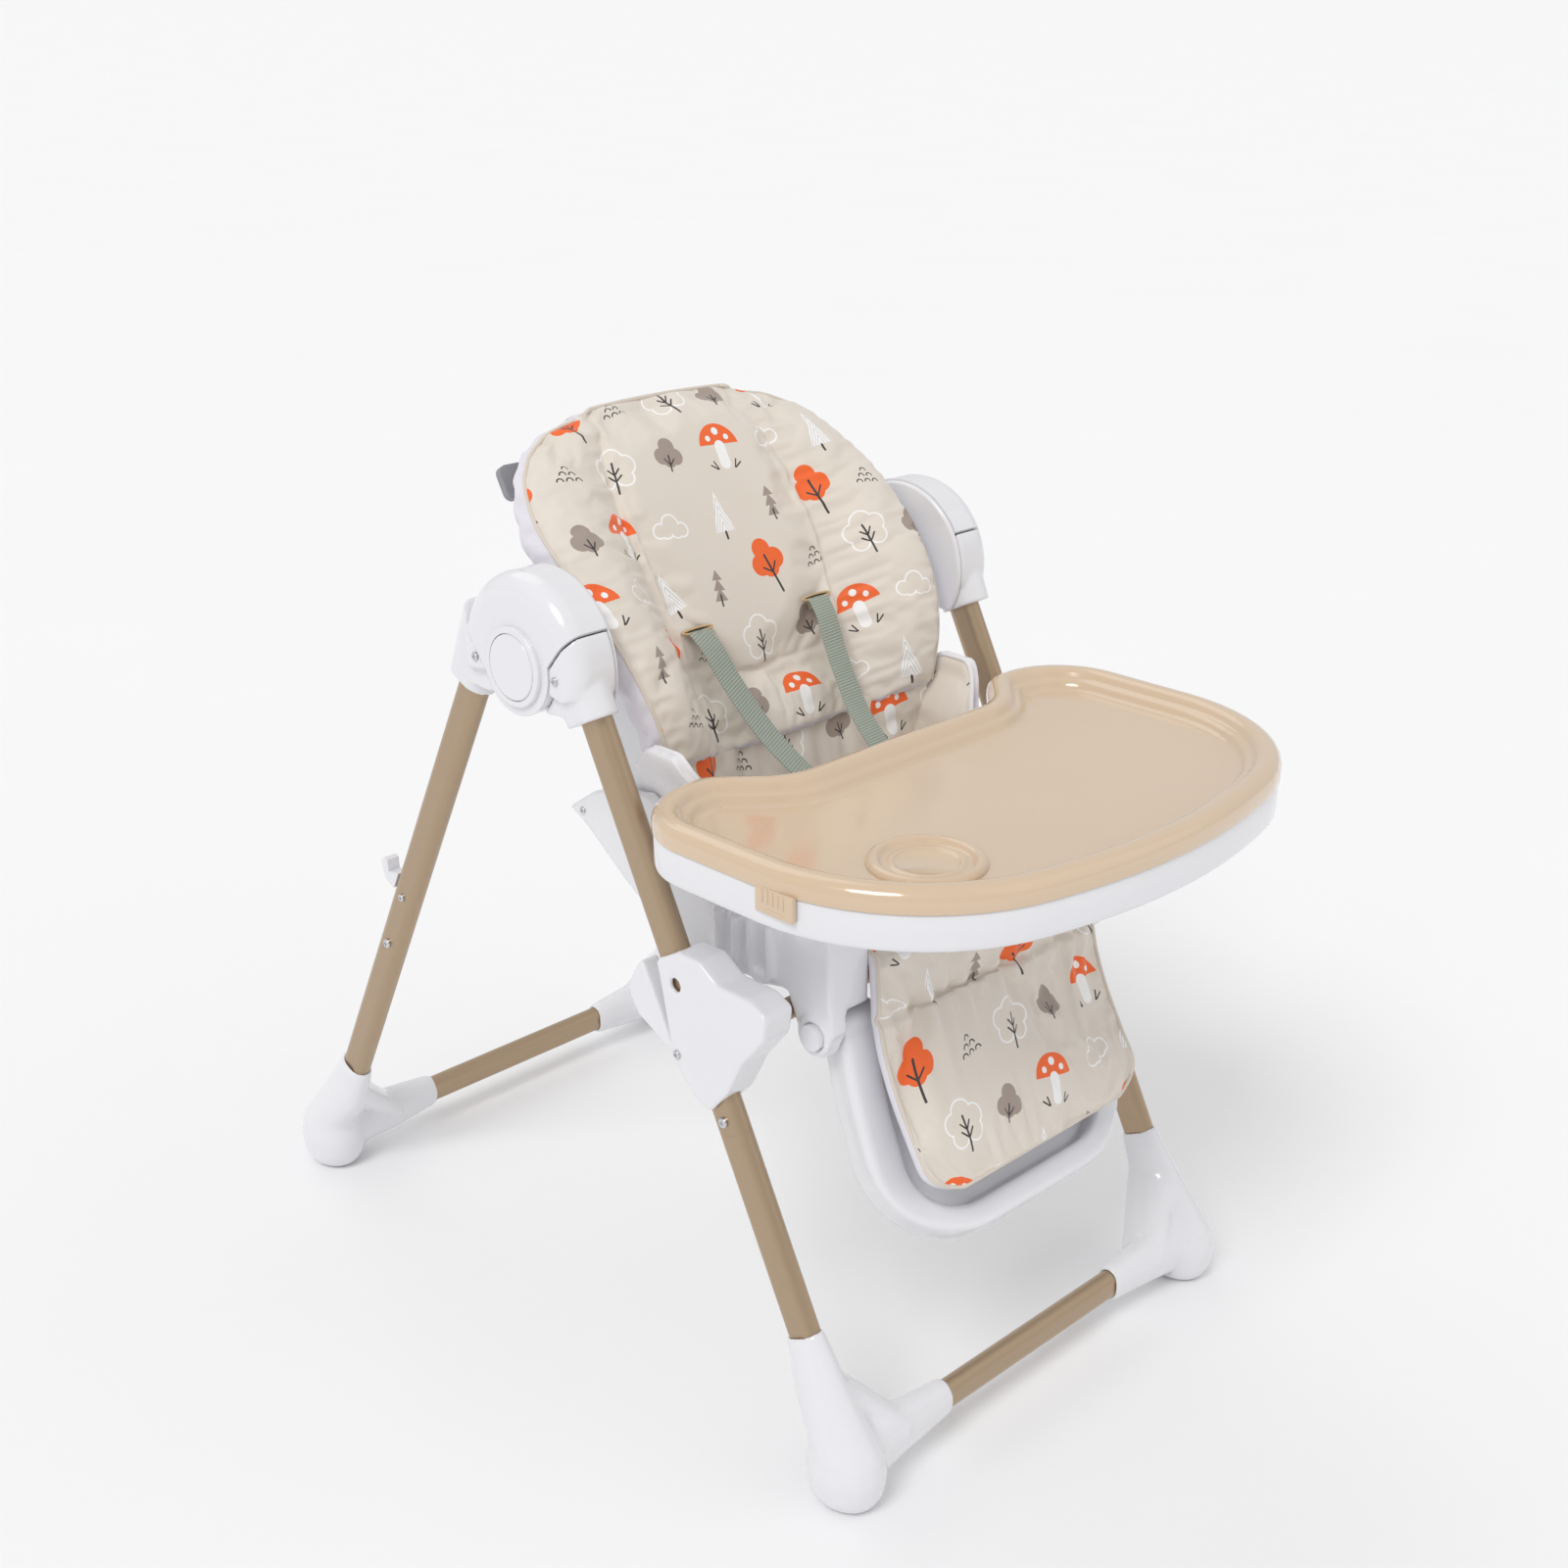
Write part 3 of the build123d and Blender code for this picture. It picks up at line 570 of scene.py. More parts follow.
def pillow(name, front, back, columns, rows, body, materials, side_bulge, rims=3, print_up=1):
    """Closed form between two (u, v) surfaces, u and v from 0 to 1, in millimetres.

    front and back return (x, y, z); the front's flat place is its run along u and up the middle.
    The rims are rings of points round the side, which stands proud by side_bulge. print_up is -1
    where v runs downwards, so that the print still stands upright. Returns the object, the index
    of each front point, and the loop of points round the front's edge."""
    us = [i / columns for i in range(columns + 1)]
    vs = [j / rows for j in range(rows + 1)]
    grid = [[Vector(front(u, v)) for u in us] for v in vs]
    points, flats = [], []
    middle = grid[rows // 2][columns // 2]
    heights = run_lengths([line[columns // 2] for line in grid])
    for line, height in zip(grid, heights):
        runs = run_lengths(line)
        points += line
        flats += [(run - runs[columns // 2], print_up * height) for run in runs]
    index = np.arange((columns + 1) * (rows + 1)).reshape(rows + 1, columns + 1)
    faces = [(index[j][i], index[j][i + 1], index[j + 1][i + 1], index[j + 1][i])
             for j in range(rows) for i in range(columns)]
    front_count = len(faces)
    base = len(points)
    points += [Vector(back(u, v)) for v in vs for u in us]
    faces += [(base + index[j][i], base + index[j + 1][i], base + index[j + 1][i + 1],
               base + index[j][i + 1]) for j in range(rows) for i in range(columns)]
    loop = [(0, i) for i in range(columns)] + [(j, columns) for j in range(rows)]
    loop += [(rows, i) for i in range(columns, 0, -1)] + [(j, 0) for j in range(rows, 0, -1)]
    edge = [index[j][i] for j, i in loop]
    ring_before = edge
    for rim in range(1, rims + 1):
        share = rim / (rims + 1)
        ring = []
        for number in edge:
            start, end = points[number], points[base + number]
            out = (start - middle).normalized()
            points.append(start.lerp(end, share) + out * side_bulge * sin(pi * share))
            ring.append(len(points) - 1)
        faces += ring_faces(ring_before, ring)
        ring_before = ring
    faces += ring_faces(ring_before, [base + number for number in edge])
    flats += [(0, 0)] * (len(points) - len(flats))
    made = piece(name, [place(*point) for point in points], [tuple(int(i) for i in f) for f in faces],
                 body, materials, uv=[(x * MM, y * MM) for x, y in flats])
    made.data.polygons.foreach_set("material_index",
                                   [0] * front_count + [1] * (len(faces) - front_count))
    repair_normals(made)
    return made, index, edge


def ring_faces(first, second):
    count = len(first)
    return [(first[k], second[k], second[(k + 1) % count], first[(k + 1) % count])
            for k in range(count)]


def stacked_faces(points, size):
    """Faces of a closed tube whose points are rings of the given size, one after another."""
    starts = range(0, len(points), size)
    faces = []
    for start in starts[:-1]:
        ring = range(start, start + size)
        faces += ring_faces(ring, [number + size for number in ring])
    return faces + [tuple(range(size)), tuple(range(starts[-1], len(points)))]


def repair_normals(made):
    work = bmesh.new()
    work.from_mesh(made.data)
    bmesh.ops.recalc_face_normals(work, faces=work.faces)
    work.to_mesh(made.data)
    work.free()


def piping(name, path, radius, body, material, closed=False):
    """Round edging of the given radius through points in metres; a curve turned into a mesh."""
    curve = bpy.data.curves.new(name, "CURVE")
    curve.dimensions = "3D"
    curve.bevel_depth = radius * MM
    curve.bevel_resolution = 2
    curve.use_fill_caps = not closed
    spline = curve.splines.new("POLY")
    spline.points.add(len(path) - 1)
    for point, at in zip(spline.points, path):
        point.co = (*at, 1.0)
    spline.use_cyclic_u = closed
    holder = add_object(name + "_line", curve)
    mesh = bpy.data.meshes.new_from_object(evaluated(holder))
    bpy.data.objects.remove(holder)
    return settle(add_object(name, mesh), body, [material])


def crown(value):
    """1 in the middle of 0..1, falling to 0 at both ends and beyond."""
    return max(0.0, 4 * value * (1 - value))


def smooth_step(value):
    value = min(1.0, max(0.0, value))
    return value * value * (3 - 2 * value)


def curve_through(xs, ys):
    """Smooth function through the points, by cubic pieces with clamped slopes."""
    xs, ys = np.array(xs, float), np.array(ys, float)
    slopes = np.gradient(ys, xs)

    def value(x):
        k = int(np.clip(np.searchsorted(xs, x) - 1, 0, len(xs) - 2))
        span = xs[k + 1] - xs[k]
        t = float(np.clip((x - xs[k]) / span, 0, 1))
        first, leave = 2 * t ** 3 - 3 * t ** 2 + 1, t ** 3 - 2 * t ** 2 + t
        last, arrive = -2 * t ** 3 + 3 * t ** 2, t ** 3 - t ** 2
        return float(first * ys[k] + leave * span * slopes[k]
                     + last * ys[k + 1] + arrive * span * slopes[k + 1])
    return value


def route_curves(route):
    """Length of a route, and each of its coordinates as a smooth function of the run."""
    runs = run_lengths(route)
    return runs[-1], [curve_through(runs, values) for values in zip(*route)]


# ---- materials on the CAD nodes that keep their shape ----
CAD_LOOKS = (("leg", TUBE), ("floor_bar", TUBE), ("cross_tube", TUBE), ("screws", STEEL),
             ("axle", STEEL), ("springs", STEEL), ("recline_handle", GREY), ("pad_hooks", GREY))
for name, cad in nodes.items():
    look = next((material for word, material in CAD_LOOKS if word in name), WHITE)
    cad.data.materials.clear()
    cad.data.materials.append(look)

# ---- moulded parts with a continuous skin ----
for side, _ in SIDES:
    for cad_name, voxel, rounds in (("front_foot_", 2.5, 32), ("rear_foot_", 2.5, 32),
                                    ("front_sleeve_", 1.6, 10), ("rear_sleeve_", 1.6, 10),
                                    ("height_bracket_", 1.6, 14), ("height_lever_", 1.3, 12),
                                    ("armrest_", 1.5, 4)):
        softened(cad_name + side, voxel, rounds)
softened("seat_base", 2.4, 7, keep=0.5)

# ---- footrest: a moulded scoop with a rounded rim, hung from two knuckles ----
REST_PATH = ((-311, 404), (-324, 350), (-345, 293), (-365, 252), (-386, 226), (-412, 207))
REST_HALF, REST_CORNER, REST_PANEL_TOP = 157.0, 88.0, 46.0
REST_ARM_HALF, REST_ARM_DEEP = 20.5, 16.5
REST_LIP_HALF, REST_LIP_DEEP = 12.5, 13.5
rest_length, (rest_y, rest_z) = route_curves(REST_PATH)
REST_LOW = rest_length - 13.0


def rest_point(x, down, out):
    """Point at a run down the footrest's side view, and out of it towards the child's legs."""
    run = Vector((rest_y(down + 1) - rest_y(down - 1), rest_z(down + 1) - rest_z(down - 1)))
    run.normalize()
    at = Vector((rest_y(down), rest_z(down))) + Vector((run.y, -run.x)) * out
    return (x, at.x, at.y)


def rim_line():
    """Stations (x, down, turn) round the U: turn is the heading in the flattened U."""
    low, half = REST_LOW - REST_CORNER, REST_HALF - REST_CORNER
    arm = [(-REST_HALF, low * k / 14, 0.0) for k in range(14)]
    turns = [pi / 2 * k / 24 for k in range(25)]
    arm += [(-REST_HALF + REST_CORNER * (1 - cos(turn)), low + REST_CORNER * sin(turn), turn)
            for turn in turns]
    lip = [(-half + half * k / 6, REST_LOW, pi / 2) for k in range(1, 12)]
    return arm + lip + [(-x, down, pi - turn) for x, down, turn in reversed(arm)]


def squared(value, power=0.36):
    """A sine or cosine pushed outwards, so that a circle becomes a rounded square."""
    return abs(value) ** power * (1 if value > 0 else -1)


def rest_rim():
    """The U-shaped rim: wide and deep on the arms, slimmer along the lip."""
    points = []
    corners = 20
    for x, down, turn in rim_line():
        low = sin(turn)
        half = REST_ARM_HALF + (REST_LIP_HALF - REST_ARM_HALF) * low
        deep = REST_ARM_DEEP + (REST_LIP_DEEP - REST_ARM_DEEP) * low
        for k in range(corners):
            angle = 2 * pi * k / corners
            wide, out = half * squared(cos(angle)), deep * squared(sin(angle))
            points.append(rest_point(x + wide * cos(turn), down - wide * sin(turn), out))
    return points, stacked_faces(points, corners)


def rest_panel():
    """The scoop's back, from rim to rim."""
    points, faces = [], []
    columns, rows = 24, 30
    for out in (-5.0, -13.0):
        for j in range(rows + 1):
            down = REST_PANEL_TOP + (REST_LOW - 3 - REST_PANEL_TOP) * j / rows
            past = max(0.0, down - REST_LOW + REST_CORNER) / REST_CORNER
            half = REST_HALF - REST_CORNER * (1 - max(0.0, 1 - past * past) ** 0.5)
            for i in range(columns + 1):
                points.append(rest_point((2 * i / columns - 1) * half, down, out))
    wide = columns + 1
    layer = wide * (rows + 1)
    for j in range(rows):
        for i in range(columns):
            a = j * wide + i
            quad = (a, a + 1, a + wide + 1, a + wide)
            faces += [quad, tuple(layer + n for n in reversed(quad))]
    loop = list(range(wide)) + [j * wide + columns for j in range(1, rows + 1)]
    loop += [rows * wide + i for i in range(columns - 1, -1, -1)]
    loop += [j * wide for j in range(rows - 1, 0, -1)]
    faces += ring_faces(loop, [layer + n for n in loop])
    return points, faces


def bar_between(x0, x1, radius, y, z, sides=40):
    """Round bar along X."""
    points = [(x, y + radius * cos(2 * pi * k / sides), z + radius * sin(2 * pi * k / sides))
              for x in (x0, x1) for k in range(sides)]
    return points, stacked_faces(points, sides)


FOOTREST_PIN = (-310.0, 414.0)
rest_solids = [rest_rim(), rest_panel(), bar_between(-134, 134, 9.0, *FOOTREST_PIN),
               bar_between(131, 176, 15.5, *FOOTREST_PIN), bar_between(-176, -131, 15.5, *FOOTREST_PIN)]
rest_points, rest_faces = [], []
for solid_points, solid_faces in rest_solids:
    base = len(rest_points)
    rest_points += [place(*point) for point in solid_points]
    rest_faces += [tuple(base + n for n in face) for face in solid_faces]
scoop = piece("footrest_scoop", rest_points, rest_faces, None, [WHITE])
repair_normals(scoop)
melt(scoop, 2.0, 7, 0.6)
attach(scoop, "footrest")
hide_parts("footrest_frame")

# ---- backrest pad ----
RECLINE_PIN = (-66.0, 556.0)
LEAN = radians(29.5)
ALONG = (24, 70, 130, 220, 300, 345, 372)
half_width = curve_through((24, 70, 130, 220, 290, 330, 352, 366, 372),
                           (184, 198, 212, 223, 213, 192, 167, 135, 104))
edge_out = curve_through(ALONG, (72, 92, 98, 74, 40, 26, 20))
seam_out = curve_through(ALONG, (40, 46, 50, 50, 42, 34, 26))
middle_out = curve_through(ALONG, (27, 27, 27, 28, 28, 27, 25))
SEAM_SHARE = 0.53
BACK_FOOT, BACK_TOP = ALONG[0], ALONG[-1]


def across(u, width):
    """Sideways place of u; near the narrow top the seams stay apart instead of running together."""
    share = abs(2 * u - 1)
    seam = max(SEAM_SHARE, min(0.85, 90 / width))
    if share < SEAM_SHARE:
        reach = share / SEAM_SHARE * seam
    else:
        reach = seam + (share - SEAM_SHARE) / (1 - SEAM_SHARE) * (1 - seam)
    return width * (reach if u > 0.5 else -reach)


def back_place(x, along, out):
    return (x, RECLINE_PIN[0] + sin(LEAN) * along - cos(LEAN) * out,
            RECLINE_PIN[1] + cos(LEAN) * along + sin(LEAN) * out)


def front_line(along, share):
    """How far forward the pad's face is; share is 0 in the middle and 1 at the edge."""
    if share < SEAM_SHARE:
        return middle_out(along) + (seam_out(along) - middle_out(along)) * (share / SEAM_SHARE) ** 2
    rest = (share - SEAM_SHARE) / (1 - SEAM_SHARE)
    bow = rest * (1.25 - 0.25 * rest)
    return seam_out(along) + (edge_out(along) - seam_out(along)) * bow


CROSS_SEAM = 92.0
PANEL_ENDS = (0.0, (1 - SEAM_SHARE) / 2, (1 + SEAM_SHARE) / 2, 1.0)
PANEL_FOOT, PANEL_HEAD = BACK_FOOT - 30, BACK_TOP + 6


def panel_rise(u, along):
    """Height of the stuffing above the seams, from 0 at a seam to 1 between them."""
    panel = max(number for number in range(3) if u >= PANEL_ENDS[number])
    left, right = PANEL_ENDS[panel:panel + 2]
    low, high = PANEL_FOOT, PANEL_HEAD
    if panel == 1:
        low, high = (low, CROSS_SEAM) if along < CROSS_SEAM else (CROSS_SEAM, high)
    return crown((u - left) / (right - left)) ** 0.6 * crown((along - low) / (high - low)) ** 0.28


def pucker(u, v, lines, spread, size):
    """Small folds that run off each seam at the given u and fade with distance."""
    folds = 0.0
    for number, line in enumerate(lines):
        near = np.exp(-((u - line) / spread) ** 2)
        wave = sin(150 * v + 7 * number) + 0.7 * sin(96 * v + 3 * number + 2.0)
        folds += size * near * (wave + 0.5 * sin(223 * v + number))
    return folds


def back_along(u, v):
    """Distance up the backrest; the top edge is arched."""
    return BACK_FOOT + (BACK_TOP - BACK_FOOT) * v + 9 * v ** 6 * (1 - (2 * u - 1) ** 2)


SEAM_SINK, PANEL_STUFFING = 13, 17


def pad_front(u, v):
    along = back_along(u, v)
    width = half_width(BACK_FOOT + (BACK_TOP - BACK_FOOT) * v) - 5
    rise = panel_rise(u, along)
    out = front_line(along, abs(2 * u - 1)) - SEAM_SINK + PANEL_STUFFING * rise
    out += pucker(u, v, PANEL_ENDS, 0.05, 0.8) * min(1.0, 6 * rise)
    return back_place(across(u, width), along, out)


def pad_back(u, v):
    """The cover's rear: tight to the shell in the middle, hemmed round behind its edge."""
    along = BACK_FOOT + 6 + (BACK_TOP - BACK_FOOT - 14) * v
    share = abs(2 * u - 1)
    width = half_width(along) - 12
    hem = smooth_step((share - 0.82) / 0.08) + smooth_step((v - 0.93) / 0.04)
    deep = 22 * (1 - smooth_step((v - 0.62) / 0.3))
    out = front_line(along, share) - 21 - (14 + deep) * min(1.0, hem)
    out += 1.2 * sin(70 * v + 9 * u) * min(1.0, hem)
    return back_place(across(u, width), along, out)


def held_points(index, edge, lines_u=(), cross=()):
    """Points that inflate leaves alone: the front's edge, the back, and the front's seams.

    Upright seams are given by u, and cross seams by (v, first u, last u)."""
    rows, columns = index.shape[0] - 1, index.shape[1] - 1
    held = set(edge) | set(range(index.size, 2 * index.size))
    for u in lines_u:
        held.update(index[:, round(u * columns)].tolist())
    for v, first, last in cross:
        held.update(index[round(v * rows), round(first * columns):round(last * columns) + 1].tolist())
    return held


BACK_COLUMNS, BACK_ROWS = 94, 84
back_pad, back_index, back_edge = pillow(
    "backrest_cushion", pad_front, pad_back, BACK_COLUMNS, BACK_ROWS, "backrest", [COTTON, LINING],
    side_bulge=7, rims=6)
cross_v = (CROSS_SEAM - BACK_FOOT) / (BACK_TOP - BACK_FOOT)
back_pins = held_points(back_index, back_edge, PANEL_ENDS[1:3],
                        [(cross_v, PANEL_ENDS[1], PANEL_ENDS[2])])
inflate(back_pad, back_pins, 3.2, 11, spare=0.05, bend=0.25)
back_line = points_of(back_pad, back_edge[BACK_COLUMNS:] + back_edge[:1])
subdivide(back_pad)
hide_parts("backrest_pad")
piping("backrest_piping", back_line, 2.0, "backrest", PIPING)

# ---- seat cushion and side wings ----
SEAT_TOP, SEAT_FLOOR = 486.0, 459.5
SEAT_SEAMS = (0.3, 0.7)


def seat_front(u, v):
    x = (2 * u - 1) * 165
    y = -301 + 203 * v
    rise = (crown(u) * crown(v)) ** 0.2
    channel = 3.5 * sum(max(0.0, 1 - abs(u - seam) / 0.03) for seam in SEAT_SEAMS)
    return (x, y, SEAT_TOP - 9 + 9 * rise - channel)


def seat_back(u, v):
    return ((2 * u - 1) * 160, -298 + 198 * v, SEAT_FLOOR)


seat_cushion, seat_index, seat_edge = pillow("seat_cushion", seat_front, seat_back, 44, 32, "seat",
                                             [COTTON, LINING], side_bulge=3)
inflate(seat_cushion, held_points(seat_index, seat_edge, SEAT_SEAMS), 2.5, 6)
seat_line = points_of(seat_cushion, seat_edge)
subdivide(seat_cushion)
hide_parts("seat_pad")
piping("seat_piping", seat_line, 1.8, "seat", PIPING, closed=True)


def join_surface(u, v, depth):
    """Cover below the backrest pad; v runs from the seat cushion up to the pad."""
    share = abs(2 * u - 1)
    foot = Vector(((2 * u - 1) * 164, -106, 482))
    head = Vector(back_place((2 * u - 1) * 176, BACK_FOOT + 9, front_line(BACK_FOOT, share) - 7))
    waist = Vector(((2 * u - 1) * 170, -76 - 22 * share ** 2, 528))
    at = foot * (1 - v) ** 2 + waist * (2 * v * (1 - v)) + head * v ** 2
    puff = (max(0.0, 1 - share ** 6) * crown(v)) ** 0.5
    fold = 0.9 * (sin(38 * u + 4 * v) + 0.8 * sin(61 * u - 3 * v + 1.0))
    fold *= np.exp(-((1 - v) / 0.4) ** 2)
    out = 6 * puff + fold * puff - depth
    return (at.x, at.y - 0.86 * out, at.z + 0.5 * out)


join_pad, join_index, join_edge = pillow(
    "seat_back_cover", lambda u, v: join_surface(u, v, 0), lambda u, v: join_surface(u, v, 9),
    60, 26, None, [COTTON, LINING], side_bulge=1)
inflate(join_pad, held_points(join_index, join_edge), 2.4, 6, spare=0.05, bend=0.25)
subdivide(join_pad)
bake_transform(join_pad)


WING_LENGTH = 222.0


def wing(side, sign):
    """Padded flap up the inside of the seat's wall, higher behind the tray, with a white band."""
    def top(u):
        return 562 + 68 * smooth_step((u - 0.52) / 0.22) - 22 * smooth_step((u - 0.86) / 0.14)

    def flare(z):
        return 24 * smooth_step((z - 570) / 60)

    def inner(u, v):
        puff = 5 * (crown(u) * crown(v)) ** 0.35
        z = SEAT_TOP - 14 + (top(u) - SEAT_TOP + 14) * v
        return (sign * (172 - puff + flare(z)), -298 + WING_LENGTH * u, z)

    def outer(u, v):
        z = SEAT_TOP - 20 + (top(u) - SEAT_TOP + 20) * v
        return (sign * (184 + flare(z)), -298 + WING_LENGTH * u, z)

    made, index, edge = pillow("seat_wing_" + side, inner, outer, 40, 20, "seat", [COTTON, TRIM],
                               side_bulge=2)
    inflate(made, held_points(index, edge), 3.0, 5, spare=0.05)
    line = points_of(made, index[-1])
    subdivide(made)
    piping("seat_wing_band_" + side, line, 2.6, "seat", TRIM)


for side, sign in SIDES:
    wing(side, sign)

# ---- calf pad, which hangs over the footrest from the seat's front edge ----
CALF_ROUTE = ((-298, 487), (-318, 489), (-333, 480), (-340, 455), (-344, 425), (-350, 398),
              (-364, 362), (-384, 325), (-404, 292), (-416, 270))
GATHER_V = 0.36
calf_rng = np.random.default_rng(7)
calf_waves = list(zip(calf_rng.uniform(14, 44, 9), calf_rng.uniform(0, 2 * pi, 9),
                      calf_rng.uniform(0.5, 1.1, 9)))
calf_length, (calf_y, calf_z) = route_curves(CALF_ROUTE)


def calf_surface(u, v, depth):
    """v runs from the seat's edge to the pad's foot; depth is how far behind the face.

    Each wave in the gathers has a rate across the pad, a phase and a size."""
    s = v * calf_length
    step = 2.0
    slope_y = (calf_y(s + step) - calf_y(s - step)) / (2 * step)
    slope_z = (calf_z(s + step) - calf_z(s - step)) / (2 * step)
    run = hypot(slope_y, slope_z)
    normal = (slope_z / run, -slope_y / run)
    x = 2 * u - 1
    corner = max(0.0, (v - 0.86) / 0.14)
    half = 146 + 6 * smooth_step(v / GATHER_V) - 38 * corner ** 3
    fall = v - GATHER_V
    gather = np.exp(-(fall / 0.24) ** 2) if fall > 0 else np.exp(-(fall / 0.07) ** 2)
    ripple = sum(size * sin(rate * x * (1 + 0.25 * fall) + phase + 1.2 * fall)
                 * np.exp(-abs(fall) * rate / 20) for rate, phase, size in calf_waves)
    puff = (max(0.0, 1 - x * x)) ** 0.35 * (max(0.0, 1 - v ** 8)) ** 0.5
    waist = np.exp(-((v - GATHER_V) / 0.018) ** 2)
    out = -depth + (6.5 * puff + 2.4 * ripple * gather * puff - 5.0 * waist) * (1 if depth == 0 else 0)
    return (half * x, calf_y(s) + normal[0] * out, calf_z(s) + normal[1] * out)


calf_pad, calf_index, calf_edge = pillow(
    "calf_cushion", lambda u, v: calf_surface(u, v, 0), lambda u, v: calf_surface(u, v, 11),
    96, 84, None, [COTTON, LINING], side_bulge=2, print_up=-1)
calf_pins = held_points(calf_index, calf_edge, cross=[(GATHER_V, 0, 1), (0, 0, 1)])
calf_pins |= set(range(calf_index.size, len(calf_pad.data.vertices)))
inflate(calf_pad, calf_pins, 2.2, 7, spare=0.06, bend=0.2)
calf_line = points_of(calf_pad, calf_edge)
subdivide(calf_pad)
calf_trim = piping("calf_piping", calf_line, 1.9, None, PIPING, closed=True)
for made in (calf_pad, calf_trim):
    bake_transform(made)
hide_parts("calf_pad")


# ---- harness webbing ----
STRAP_WIDTH, STRAP_THICKNESS = 26.0, 1.6


def ribbon(name, path, sideways, body):
    """Flat webbing along a smooth path in millimetres."""
    length, lines = route_curves(path)
    count = max(12, int(length / 4))
    points, flats = [], []
    sideways = Vector(sideways).normalized()
    ring = ((-0.5, -0.35), (-0.46, -0.5), (0.46, -0.5), (0.5, -0.35), (0.5, 0.35), (0.46, 0.5),
            (-0.46, 0.5), (-0.5, 0.35))
    for number in range(count + 1):
        s = length * number / count
        centre = Vector([line(s) for line in lines])
        ahead = Vector([line(min(s + 2, length)) - line(max(s - 2, 0)) for line in lines]).normalized()
        side_way = (sideways - ahead * sideways.dot(ahead)).normalized()
        out = ahead.cross(side_way).normalized()
        for a, b in ring:
            points.append(place(*(centre + side_way * a * STRAP_WIDTH + out * b * STRAP_THICKNESS)))
            flats.append((a * STRAP_WIDTH * MM, s * MM))
    made = piece(name, points, stacked_faces(points, len(ring)), body, [TAPE], uv=flats)
    repair_normals(made)
    made.data.set_sharp_from_angle(angle=radians(35))
    return made


STRAP_X, SLOT_ALONG = 81.0, 139.0


def face_out(x, along):
    return front_line(along, abs(x) / half_width(along)) + 2


for side, sign in SIDES:
    out = face_out(STRAP_X, SLOT_ALONG)
    route = [back_place(sign * STRAP_X, SLOT_ALONG + 2, out - 12),
             back_place(sign * STRAP_X, SLOT_ALONG, out + 4),
             back_place(sign * (STRAP_X - 2), SLOT_ALONG - 12, out + 9),
             back_place(sign * (STRAP_X - 9), 85, out + 13),
             back_place(sign * (STRAP_X - 20), 25, out + 24),
             (sign * 44, -176, 560), (sign * 22, -206, 528)]
    strap = ribbon("harness_shoulder_" + side, route, (1, 0, 0), None)
    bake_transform(strap)
    if side == "left":
        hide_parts("shoulder_straps")
    waist = ribbon("harness_waist_" + side, [(sign * 168, -128, 500), (sign * 120, -165, 498),
                                             (sign * 60, -200, 512), (sign * 20, -212, 521)],
                   (0, 0.35, 1), "seat")
    if side == "left":
        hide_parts("waist_straps")
crotch = ribbon("harness_crotch", [(0, -236, 484), (0, -228, 494), (0, -216, 506)], (1, 0, 0), "seat")
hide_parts("crotch_strap")


def buttonhole(name, x):
    """Bound slot in the pad that a shoulder strap comes through."""
    out = face_out(x, SLOT_ALONG) + 3.5
    half, tall = 19.0, 2.2
    rim = [back_place(x + half * cos(a), SLOT_ALONG + 2 + tall * sin(a), out) for a in
           np.linspace(0, 2 * pi, 40, endpoint=False)]
    piping(name, [place(*point) for point in rim], 1.1, "backrest", TAN, closed=True)
    # The dark disc across the slot is painted shadow where the slot opens into the pad.
    middle = len(rim)
    disc = [place(*point) for point in rim] + [place(*back_place(x, SLOT_ALONG + 2, out - 2))]
    piece(name + "_dark", disc, [(k, (k + 1) % middle, middle) for k in range(middle)], "backrest",
          [SHADOW])


buttonhole("slot_binding_left", STRAP_X)
buttonhole("slot_binding_right", -STRAP_X)

# ---- tray ----
TRAY_CORNERS = (((0, -558.6), 609), ((300, -494.9), 190), ((300, -166), 80), ((196, -166), 40),
                ((140, -217), 60), ((-140, -217), 60), ((-196, -166), 40), ((-300, -166), 80),
                ((-300, -494.9), 190))


def rounded(corners, step=5.0):
    """Closed outline with every corner rounded by its radius, as evenly spaced points."""
    line = []
    count = len(corners)
    for k, (corner, radius) in enumerate(corners):
        here = Vector(corner)
        before = (Vector(corners[k - 1][0]) - here).normalized()
        after = (Vector(corners[(k + 1) % count][0]) - here).normalized()
        half = before.angle(after) / 2
        reach = radius / tan(half)
        centre = here + (before + after).normalized() * radius / sin(half)
        start, end = here + before * reach, here + after * reach
        first = atan2(*(start - centre).yx)
        sweep = (atan2(*(end - centre).yx) - first + pi) % (2 * pi) - pi
        for number in range(13):
            angle = first + sweep * number / 12
            line.append(centre + Vector((cos(angle), sin(angle))) * radius)
    closed = line + [line[0]]
    lengths = run_lengths(closed)
    spots = np.linspace(0, lengths[-1], int(lengths[-1] / step), endpoint=False)
    xs = np.interp(spots, lengths, [p.x for p in closed])
    ys = np.interp(spots, lengths, [p.y for p in closed])
    return np.stack([xs, ys], 1)


TRAY_LINE = rounded(TRAY_CORNERS)
tray_run = np.roll(TRAY_LINE, -1, 0) - np.roll(TRAY_LINE, 1, 0)
tray_run /= np.linalg.norm(tray_run, axis=1, keepdims=True)
tray_area = np.sum(TRAY_LINE[:, 0] * np.roll(TRAY_LINE[:, 1], -1)
                   - np.roll(TRAY_LINE[:, 0], -1) * TRAY_LINE[:, 1])
TRAY_OUT = np.stack([tray_run[:, 1], -tray_run[:, 0]], 1) * np.sign(tray_area)


